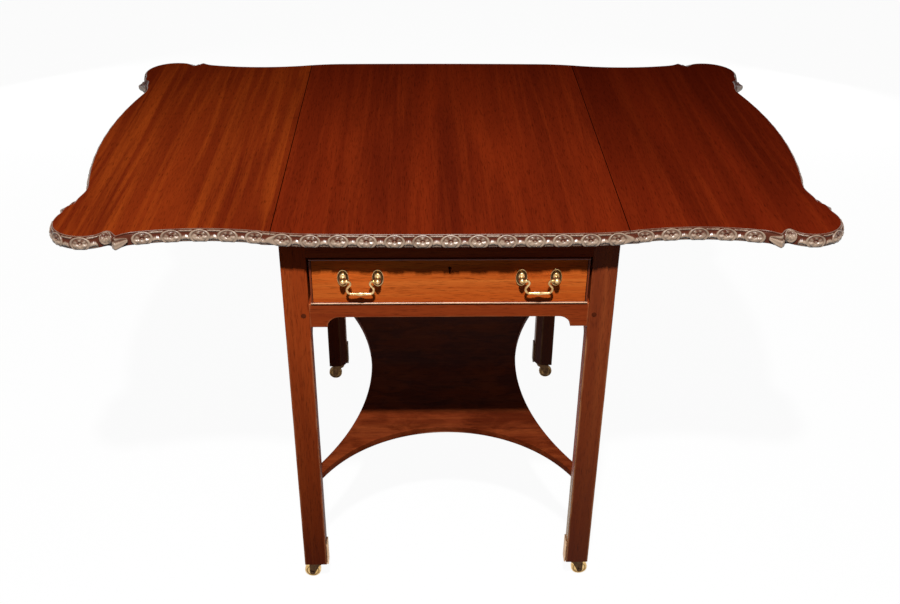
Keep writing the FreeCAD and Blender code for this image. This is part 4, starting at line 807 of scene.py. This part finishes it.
def bridges(gone, up, centres):
    """Bridges between the ovals: an arched bead whose upper side slopes, a hollow under it, a thin
    collar at the top and a flare at the bottom, with three ribs that run through all of them."""
    away, _ = nearest(gone, centres)
    half = BRIDGE_HALF + BRIDGE_FLARE * np.abs(up) + BRIDGE_HEAD * ease(up, *HEAD_RISE)
    across = away[None, :] / half
    body = 1 - ease(np.abs(across), *BRIDGE_WALL)
    arch = up - ARCH_UP + ARCH_BEND * across ** 2
    face = (ARCH_TALL - ARCH_BACK * ease(arch, *ARCH_SLOPE)
            - HOLLOW_DEEP * ease(-arch, *HOLLOW_WALL) + RIB_TALL * np.cos(RIBS * np.pi * across)
            + COLLAR_TALL * bell(up, *COLLAR) + FLARE_TALL * bell(up, *FLARE))
    return GROUND + body * (face - GROUND)


HUSK_TALL, HUSK_LEAN, HUSK_SLOPE, VEIN_TALL = 0.5, 1.8, (-0.25, 0.2), 0.4
HUSK_LEAST, HUSK_WALL, HUSK_ENDS, HUSK_ROOT = 0.02, (0.9, 1.15), (0.9, 1.05), (-1.15, -0.75)


def husks(gone, up, centres, halves, points):
    """Pointed leaves that lie along the edge: broad at one end and pointed at the other, with ribs
    that follow the outline. The upper half lies back and the lower half stands forward."""
    away, which = nearest(gone, centres)
    along = away * np.array(points)[which] / np.array(halves)[which]
    taper = np.sqrt(np.clip(1 - along, 0.0, 2.0) / 2) * ease(along, *HUSK_ROOT)
    across = up / (HUSK_LEAST + (1 - HUSK_LEAST) * taper)[None, :]
    body = (1 - ease(np.abs(across), *HUSK_WALL)) * (1 - ease(np.abs(along), *HUSK_ENDS))[None, :]
    face = VEIN_TALL * np.cos(RIBS * np.pi * across) + HUSK_TALL - HUSK_LEAN * ease(up, *HUSK_SLOPE)
    return GROUND + body * (face - GROUND)


OUTER_SOFT, FACE_SOFT, UNDER_SOFT, FLAT_SOFT, RETREAT_SOFT = 1.3, 3.0, 4.0, 7.0, 30.0


def carved(path, relief, retreat, sink):
    """Carved edge along a path: each column is a quarter of a squared ellipse below the widest line
    and a taller one above it, up to the flat top, and relief (rows by columns, in mm) moves it in
    or out along its own normal. Where leaves lie over the top, retreat draws the flat top's border
    further in, the section slopes down by sink until it comes to its usual width, and the widest
    line rises towards that slope, which leaves a beak."""
    outer = smoothed(path, OUTER_SOFT)
    flat = smoothed(path, FLAT_SOFT)
    drawn_in = outward(smoothed(path, RETREAT_SOFT)) * retreat[:, None]
    flat = flat - outward(flat) * BAND_IN - drawn_in
    under = smoothed(path, UNDER_SOFT)
    under = under - outward(under) * BAND_IN
    face = outward(smoothed(path, FACE_SOFT))
    inner = np.where(is_lower[:, None, None], under[None], flat[None])
    plan = inner + (outer[None] - inner) * edge_out[:, None, None]
    rings = np.empty((EDGE_ROWS, len(path), 3))
    rings[..., :2] = plan + face[None] * (edge_lean[:, :1] * relief)[..., None]
    inward = edge_out[:, None] * (BAND_IN + retreat)
    beyond = np.clip((inward - retreat) / BAND_IN, 0.0, 1.0)
    fall = (1 - beyond ** UPPER_SQUARE) ** (1 / UPPER_SQUARE)
    slope = sink * (1 - np.clip(inward / np.maximum(retreat, 0.01), 0.0, 1.0))
    lower_z = edge_z[0] + (edge_z - edge_z[0])[:, None] * (1 + BEAK_SHARE * sink / WIDEST_RISE)
    widest_z = lower_z[LOWER_ROWS - 1]
    upper_z = widest_z + (edge_z[-1] - sink - widest_z) * fall + slope
    rings[..., 2] = np.where(is_lower[:, None], lower_z, upper_z) + edge_lean[:, 1:] * relief
    return rings


UPPER_RISE, UPPER_LIP = (0.78, 0.88), (0.88, 0.95)
LOWER_RISE, LOWER_LIP = (0.60, 0.76), (0.86, 0.95)
DUST, DUSTED = 0.12, (0.1, 0.7)


def lipped(relief, up):
    """Relief with a plain lip along the top and the bottom of the edge, where the ground rises and
    then all fades out, and how pale each point is: 0 in the ground, 1 on the crests, partly rubbed
    and partly a painted sheen, and less on the upper part, which is dusted and not knocked. The top
    lip takes a middle tone and the bottom lip the ground's dark, which is painted shade."""
    rising = np.maximum(ease(up, *UPPER_RISE), ease(-up, *LOWER_RISE))
    lip = np.maximum(ease(up, *UPPER_LIP), ease(-up, *LOWER_LIP))
    stands = ease(relief, GROUND, CREST) * (1 - DUST * ease(up, *DUSTED))
    lifted = np.maximum(relief, GROUND + (LIP_DEEP - GROUND) * rising)
    return lifted * (1 - lip), stands + (LIP_TONE * (up > 0) - stands) * lip


def rounded(z, radius, edge_x, away):
    """X of a board's side at the rule joint by height: a round about the pin, and upright above it,
    with the top arris taken off, towards +X where away is 1."""
    inside = radius ** 2 - (z - PIN_Z) ** 2
    turn_x = np.where(inside > 0.0, PIN_X + np.sqrt(np.maximum(inside, 0.0)), edge_x)
    arris = JOINT_ARRIS * ease(z, board_high[2] - JOINT_ARRIS_TALL, board_high[2])
    return np.maximum(turn_x, edge_x) + away * arris


def nose_x(z):
    """X of the centre board's nose at a height."""
    return rounded(z, NOSE, board_edge_x, -1.0)


def hollow_x(z):
    """X of the right leaf's hollow at a height."""
    return rounded(z, LEAF_HOLLOW, leaf_edge_x, 1.0)


def joint_side(y_places, curve, in_well):
    """Columns down the side of a board at the rule joint: x follows curve(z), and inside a hinge's
    well the lower part is cut straight back."""
    z = edge_z[:, None]
    return grid(np.where(in_well & (z < WELL_TOP), WELL_SIDE, curve(z)), y_places, z)


def fitted(rings, gone, curve, edge_x, reach):
    """Carved columns near a rule joint, moved along X so that the last one lies on the joint's own
    profile: the shift fades out within reach of either end."""
    near = np.minimum(gone, gone[-1] - gone)
    fade = 1 - ease(near, 0.0, reach)
    side = np.sign(rings[..., 0])
    joint_x = curve(rings[..., 2])
    moved = rings.copy()
    moved[..., 0] += side * (joint_x - edge_x) * fade[None, :]
    moved[:, [0, -1], 0] = (side * joint_x)[:, [0, -1]]
    return moved


TOOL_MARKS, TOOL_DEPTH = (60.0, 60.0, 4.0, 0.4), 0.0004


def carved_wood(name, low, middle, crest, shade):
    """Carved mahogany under a hard polish: dark and red in the ground, which is partly painted
    shade in the recesses, and pale grey brown on the crests, which is partly rubbing and partly a
    painted sheen. The point value relief is 0 in the ground and 1 on the crests."""
    made, tree = surface(name)
    relief = node(tree, "ShaderNodeAttribute", attribute_name="relief").outputs["Fac"]
    marks = drawn_noise(tree, ALONG_Y, (0.4, 0.9, 0.1), TOOL_MARKS)
    spread = ranged(tree, marks, 0.3, 0.7, -0.18, 0.18)
    uneven = node(tree, "ShaderNodeMath", {0: relief, 1: spread}, operation="ADD").outputs["Value"]
    colour = ramp(tree, uneven, (0.18, low), (0.66, middle), (1.0, crest))
    finished(tree, shaded(tree, colour, shade), ranged(tree, marks, 0.3, 0.7, 0.24, 0.36), marks,
             0.3, TOOL_DEPTH, {"Specular IOR Level": ranged(tree, uneven, 0.2, 0.8, 0.08, 0.5)})
    return made


# Painted shade: the carving darkens towards the back.
edge_wood = carved_wood("carved_mahogany", tone(84, 40, 26), tone(112, 84, 66), tone(156, 132, 112),
                        (ALONG_Y, 0.34, -0.30, tone(160, 150, 144)))
# Painted shade: the top board and the left leaf darken towards the back.
SHADE_TOWARDS_BACK = (ALONG_Y, 0.36, -0.05, tone(206, 196, 190))
board_wood = timber(
    "top_mahogany", tone(84, 22, 7), tone(106, 31, 9), tone(125, 42, 13), ALONG_Y,
    (5.3, 0.2, 0.7), streak=0.55, shade=SHADE_TOWARDS_BACK)

JOINT_Y = 352.5
joint_near = np.array([board_edge_x, -JOINT_Y])
BOW_END, BOW_TURN = np.array([190.0, -359.0]), np.array([221.5, -357.15])
front_line = np.concatenate([
    arc(joint_near * flip_x, BOW_TURN * flip_x, BOW_END * flip_x, 40),
    arc(BOW_END * flip_x, (0.0, -board_high[1]), BOW_END, 200),
    arc(BOW_END, BOW_TURN, joint_near, 40), [joint_near]])
front_path, front_gone = stepped(front_line)
front_ovals, front_bridges = row(front_gone[-1] / 2, FRONT_BESIDE)
up = edge_up[:, None]
front_relief, front_stands = lipped(np.maximum(
    petalled_ovals(front_gone, up, front_ovals, OVAL_HALF),
    bridges(front_gone, up, front_bridges)), up)
nowhere = np.zeros(len(front_gone))
front_edge = fitted(carved(front_path, front_relief, nowhere, nowhere), front_gone, nose_x,
                    board_edge_x, BOARD_FADE)
well_near, well_far = WELL_ENDS
half_y = np.array([well_near - WELL_MARGIN, well_near - WELL_STEP, well_near,
                   well_far, well_far + WELL_STEP, well_far + WELL_MARGIN, JOINT_END])
side_y = np.concatenate([-half_y[::-1], half_y])
side_well = np.isin(np.abs(side_y), WELL_ENDS)
right_side = joint_side(side_y, nose_x, side_well)
half_turn = np.array([-1.0, -1.0, 1.0])
board_rings = np.concatenate(
    [front_edge, right_side, front_edge * half_turn, right_side * half_turn], axis=1)
plain = np.zeros((EDGE_ROWS, len(side_y)))
board_marks = np.concatenate([front_stands, plain, front_stands, plain], axis=1)
column = np.concatenate([np.zeros(len(front_gone) - 1, int), np.ones(len(side_y) + 1, int)])
board = skin("top_board_carved", board_rings, [edge_wood, board_wood, inner_wood],
             wall=np.tile(column, 2), low_cap=2, high_cap=1, relief=board_marks)
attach(board, "frame")
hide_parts("top_board")

# Leaves: two drop leaves with a hollow along the rule joint, a hollow front and back, a bowed end,
# and a round lobe between two points at each outer corner. The edge is carved like the top's, with
# husks and bosses at the points.
leaf_far = span("leaf_right")[1]
TIP_FRONT, NOTCH_FRONT, LOBE_START = (465.5, 366.0), (478.0, 352.0), (452.0, 353.0)
FRONT_HOLLOW_DEEP = (352.6, 340.75)
LOBE_ROUND, NOTCH_END, TIP_END = (553.3, 347.3), (562.5, 281.0), (570.0, 258.0)
END_TURN, END_HOLLOW, BOW_START = (556.0, 238.0), (548.0, 214.0), (549.5, 195.0)
END_BOW = (leaf_far[0], 0.0)
joint_corner = (leaf_edge_x, JOINT_Y)
leaf_half = np.concatenate([
    arc(joint_corner, FRONT_HOLLOW_DEEP, LOBE_START, 200), [LOBE_START, TIP_FRONT],
    arc(NOTCH_FRONT, LOBE_ROUND, NOTCH_END, 160), [NOTCH_END, TIP_END],
    arc(END_TURN, END_HOLLOW, BOW_START, 50)])
bow = arc(BOW_START * flip_y, END_BOW, BOW_START, 300)
leaf_path, leaf_gone = stepped(np.concatenate([leaf_half * flip_y, bow, leaf_half[::-1]]))
whole = leaf_gone[-1]


def reached(*steps):
    """Places on the leaf's edge by the distance gone: each of steps is a point and how far to go on
    from the place nearest to it. All of them come from the front first, then from the back."""
    front = np.concatenate([
        leaf_gone[np.linalg.norm(leaf_path - point * flip_y, axis=1).argmin()] + np.array(further)
        for point, further in steps])
    return np.concatenate([front, whole - front])


def humps(point, further, tall, width):
    """Two bell curves along the leaf's edge, at the places reached from a point."""
    return sum(tall * bell(leaf_gone, place, width) for place in reached((point, [further])))


BOW_BESIDE, HOLLOW_OVALS, FIRST_OVAL = 4, 5, 22.0
HOLLOW_STEPS = FIRST_OVAL + REPEAT * np.arange(HOLLOW_OVALS)
LOBE_STEPS, LOBE_SIZES = np.array([39.0, 80.0, 120.0]), [15.0, 14.0, 13.0]
HUSK_SIZES, HUSK_POINTS = [15.0, 22.0, 15.0, 22.0], [-1.0, 1.0, 1.0, -1.0]
FRONT_HUSK, END_HUSK, FRONT_BOSS, END_BOSS = [-6.0], [10.0], [2.0], [-4.0]
BOSS_HALF, BOSS_MIDDLE, BOSS_TALL = 9.5, 0.22, 0.74
NOTCH_RETREAT, TIP_RETREAT, TIP_SINK = (1.0, 8.0, 9.0), (7.0, 11.0, 17.0), (4.0, 7.5, 16.0)
SUNK_SHADE, SUNK_FACE = 0.07, (-0.2, 0.3)
bow_ovals, bow_bridges = row(whole / 2, BOW_BESIDE)
leaf_ovals = np.concatenate([
    bow_ovals, reached((joint_corner, HOLLOW_STEPS), (NOTCH_FRONT, LOBE_STEPS))])
leaf_sizes = np.concatenate([
    np.full(len(bow_ovals), OVAL_HALF), *[np.full(HOLLOW_OVALS, OVAL_HALF), LOBE_SIZES] * 2])
leaf_bridges = np.concatenate([bow_bridges, reached(
    (joint_corner, HOLLOW_STEPS - REPEAT / 2), (NOTCH_FRONT, LOBE_STEPS - REPEAT / 2))])
leaf_husks = reached((TIP_FRONT, FRONT_HUSK), (TIP_END, END_HUSK))
leaf_bosses = reached((NOTCH_FRONT, FRONT_BOSS), (NOTCH_END, END_BOSS))
leaf_relief, leaf_stands = lipped(np.maximum.reduce([
    petalled_ovals(leaf_gone, up, leaf_ovals, leaf_sizes),
    petalled_ovals(leaf_gone, up, leaf_bosses, BOSS_HALF, BOSS_MIDDLE, BOSS_TALL),
    bridges(leaf_gone, up, leaf_bridges),
    husks(leaf_gone, up, leaf_husks, HUSK_SIZES, HUSK_POINTS)]), up)
leaf_retreat = humps(NOTCH_FRONT, *NOTCH_RETREAT) + humps(TIP_END, *TIP_RETREAT)
leaf_sink = humps(TIP_END, *TIP_SINK)
# Painted shade: the upper part of the sunk slope at each tip is darkened.
leaf_stands *= 1 - SUNK_SHADE * leaf_sink * ease(up, *SUNK_FACE)
leaf_edge = fitted(carved(leaf_path, leaf_relief, leaf_retreat, leaf_sink), leaf_gone, hollow_x,
                   leaf_edge_x, LEAF_FADE)
leaf_side = joint_side(np.array([JOINT_END, -JOINT_END]), hollow_x, np.zeros(2, bool))
leaf_rings = np.concatenate([leaf_edge, leaf_side], axis=1)
leaf_marks = np.concatenate([leaf_stands, np.zeros((EDGE_ROWS, 2))], axis=1)
leaf_column = np.concatenate([np.zeros(len(leaf_gone) - 1, int), np.ones(3, int)])
# Painted shade: the right leaf's shade darkens it towards the back more than the left.
leaf_woods = {
    "left": timber("leaf_left_mahogany", tone(94, 27, 8), tone(123, 43, 12), tone(147, 61, 17),
                   ALONG_Y, (0.9, 0.6, 4.4), streak=0.7, shade=SHADE_TOWARDS_BACK),
    "right": timber("leaf_right_mahogany", tone(83, 21, 6), tone(104, 29, 9), tone(120, 39, 12),
                    ALONG_Y, (2.9, 0.3, 1.2), streak=0.55,
                    shade=(ALONG_Y, 0.36, -0.33, tone(180, 170, 164)))}
for side_name, side in SIDES:
    leaf = skin(f"leaf_{side_name}_carved", leaf_rings * np.array([side, 1.0, 1.0]),
                [edge_wood, leaf_woods[side_name], inner_wood], wall=leaf_column, low_cap=2,
                high_cap=1, relief=leaf_marks)
    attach(leaf, f"leaf_{side_name}")
    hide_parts(f"leaf_{side_name}")

# Hinges and fly rails: iron plates, pins and screws under the top, and the hinged mahogany brackets
# on each side that swing out below the leaves.
dress(iron, "hinge_top_plates", "hinge_leaf_plates_left", "hinge_leaf_plates_right", "hinge_pins",
      "hinge_top_screws", "hinge_leaf_screws_left", "hinge_leaf_screws_right", "top_screws",
      "fly_pins")
dress(inner_wood, "fly_rail_left", "fly_rail_right", "fly_bracket_left", "fly_bracket_right")

# Floor, light and camera: a pale floor that keeps a faint shadow, one lamp high in front, two weak
# ones low behind that only fill in the back, and a weak even light around. The camera looks down
# at the front edge from a little to the left.
FLOOR_HALF = 15.0
floor_mesh = bpy.data.meshes.new("floor")
floor_mesh.from_pydata(
    [(x * FLOOR_HALF, y * FLOOR_HALF, 0.0) for x, y in ((-1, -1), (1, -1), (1, 1), (-1, 1))], [],
    [(0, 1, 2, 3)])
floor = bpy.data.objects.new("floor", floor_mesh)
bpy.context.scene.collection.objects.link(floor)

FLOOR_PAINT = (0.10, 0.10, 0.10, 1.0)
FLOOR_SHADOW = 0.045


def seen(tree):
    """1 for a ray that shows the surface straight, in a mirror or through glass, else 0."""
    path = node(tree, "ShaderNodeLightPath")
    either = node(tree, "ShaderNodeMath", {
        0: path.outputs["Is Camera Ray"], 1: path.outputs["Is Glossy Ray"]}, operation="MAXIMUM")
    return node(tree, "ShaderNodeMath", {
        0: either.outputs["Value"], 1: path.outputs["Is Transmission Ray"]},
        operation="MAXIMUM").outputs["Value"]


paint, tree = surface("floor_paint")
tree.nodes.remove(tree.nodes["Principled BSDF"])
shown = seen(tree)
matt = node(tree, "ShaderNodeBsdfDiffuse", {"Color": mixed(tree, shown, FLOOR_PAINT, WHITE)})
bright = node(tree, "ShaderNodeEmission", {"Color": WHITE, "Strength": 1.0})
share = ranged(tree, shown, 0.0, 1.0, 0.0, 1.0 - FLOOR_SHADOW)
laid = node(tree, "ShaderNodeMixShader", {
    0: share, 1: matt.outputs["BSDF"], 2: bright.outputs["Emission"]})
feed(tree, tree.nodes["Material Output"], {"Surface": laid.outputs["Shader"]})
floor_mesh.materials.append(paint)

AROUND_LIGHT = 0.07
world = bpy.data.worlds.new("studio")
world.use_nodes = True
bpy.context.scene.world = world
tree = world.node_tree
feed(tree, tree.nodes["Background"], {
    "Color": WHITE, "Strength": ranged(tree, seen(tree), 0.0, 1.0, AROUND_LIGHT, 1.0)})


def facing(yaw, pitch, roll=0.0):
    """Right, up and forward of a lamp or camera that looks along Y, turned by yaw towards X, down
    by pitch, and about its own line of sight by roll, in radians."""
    forward = np.array([np.sin(yaw) * np.cos(pitch), np.cos(yaw) * np.cos(pitch), -np.sin(pitch)])
    level = np.array([np.cos(yaw), -np.sin(yaw), 0.0])
    right = np.cos(roll) * level + np.sin(roll) * np.cross(level, forward)
    return right, np.cross(right, forward), forward


def stood(name, data, position, right, up, forward):
    """Lamp or camera that stands at position in these directions."""
    columns = np.eye(4)
    columns[:3] = np.stack([right, up, -forward, position], axis=1)
    made = bpy.data.objects.new(name, data)
    made.matrix_world = Matrix(columns.tolist())
    bpy.context.scene.collection.objects.link(made)
    return made


LAMP_AWAY = 2.6
FRONT_AIM, FRONT_YAW, FRONT_PITCH = np.array([0.0, -0.34, 0.67]), 3.0, 58.6
BACK_AIM, BACK_YAW, BACK_PITCH = np.array([0.0, 0.1, 0.32]), 146.0, 1.5


def lamp(name, aim, yaw, pitch, size, power):
    """Round lamp LAMP_AWAY from its aim, size in m and power in W. The angles are in degrees."""
    data = bpy.data.lights.new(name, "AREA")
    data.shape = "DISK"
    data.size = size
    data.energy = power
    directions = facing(np.radians(yaw), np.radians(pitch))
    return stood(name, data, aim - LAMP_AWAY * directions[2], *directions)


lamp("lamp_front", FRONT_AIM, FRONT_YAW, FRONT_PITCH, size=0.14, power=108.0)
for side_name, side in SIDES:
    fill = lamp(f"lamp_back_{side_name}", BACK_AIM, -side * BACK_YAW, BACK_PITCH, size=0.5,
                power=11.0)
    fill.visible_glossy = False

CAMERA_PLACE = np.array([-0.03968, -1.68547, 1.41732])
CAMERA_YAW, CAMERA_PITCH, CAMERA_ROLL = 0.0296, 0.5508, 0.0109
FOCAL_PIXELS, PICTURE_WIDTH = 1076.95, 900.0
camera_data = bpy.data.cameras.new("camera")
camera_data.sensor_width = 36.0
camera_data.lens = FOCAL_PIXELS / PICTURE_WIDTH * camera_data.sensor_width
camera_data.clip_end = 100.0
bpy.context.scene.camera = stood(
    "camera", camera_data, CAMERA_PLACE, *facing(CAMERA_YAW, CAMERA_PITCH, CAMERA_ROLL))
bpy.context.scene.view_settings.view_transform = "Standard"
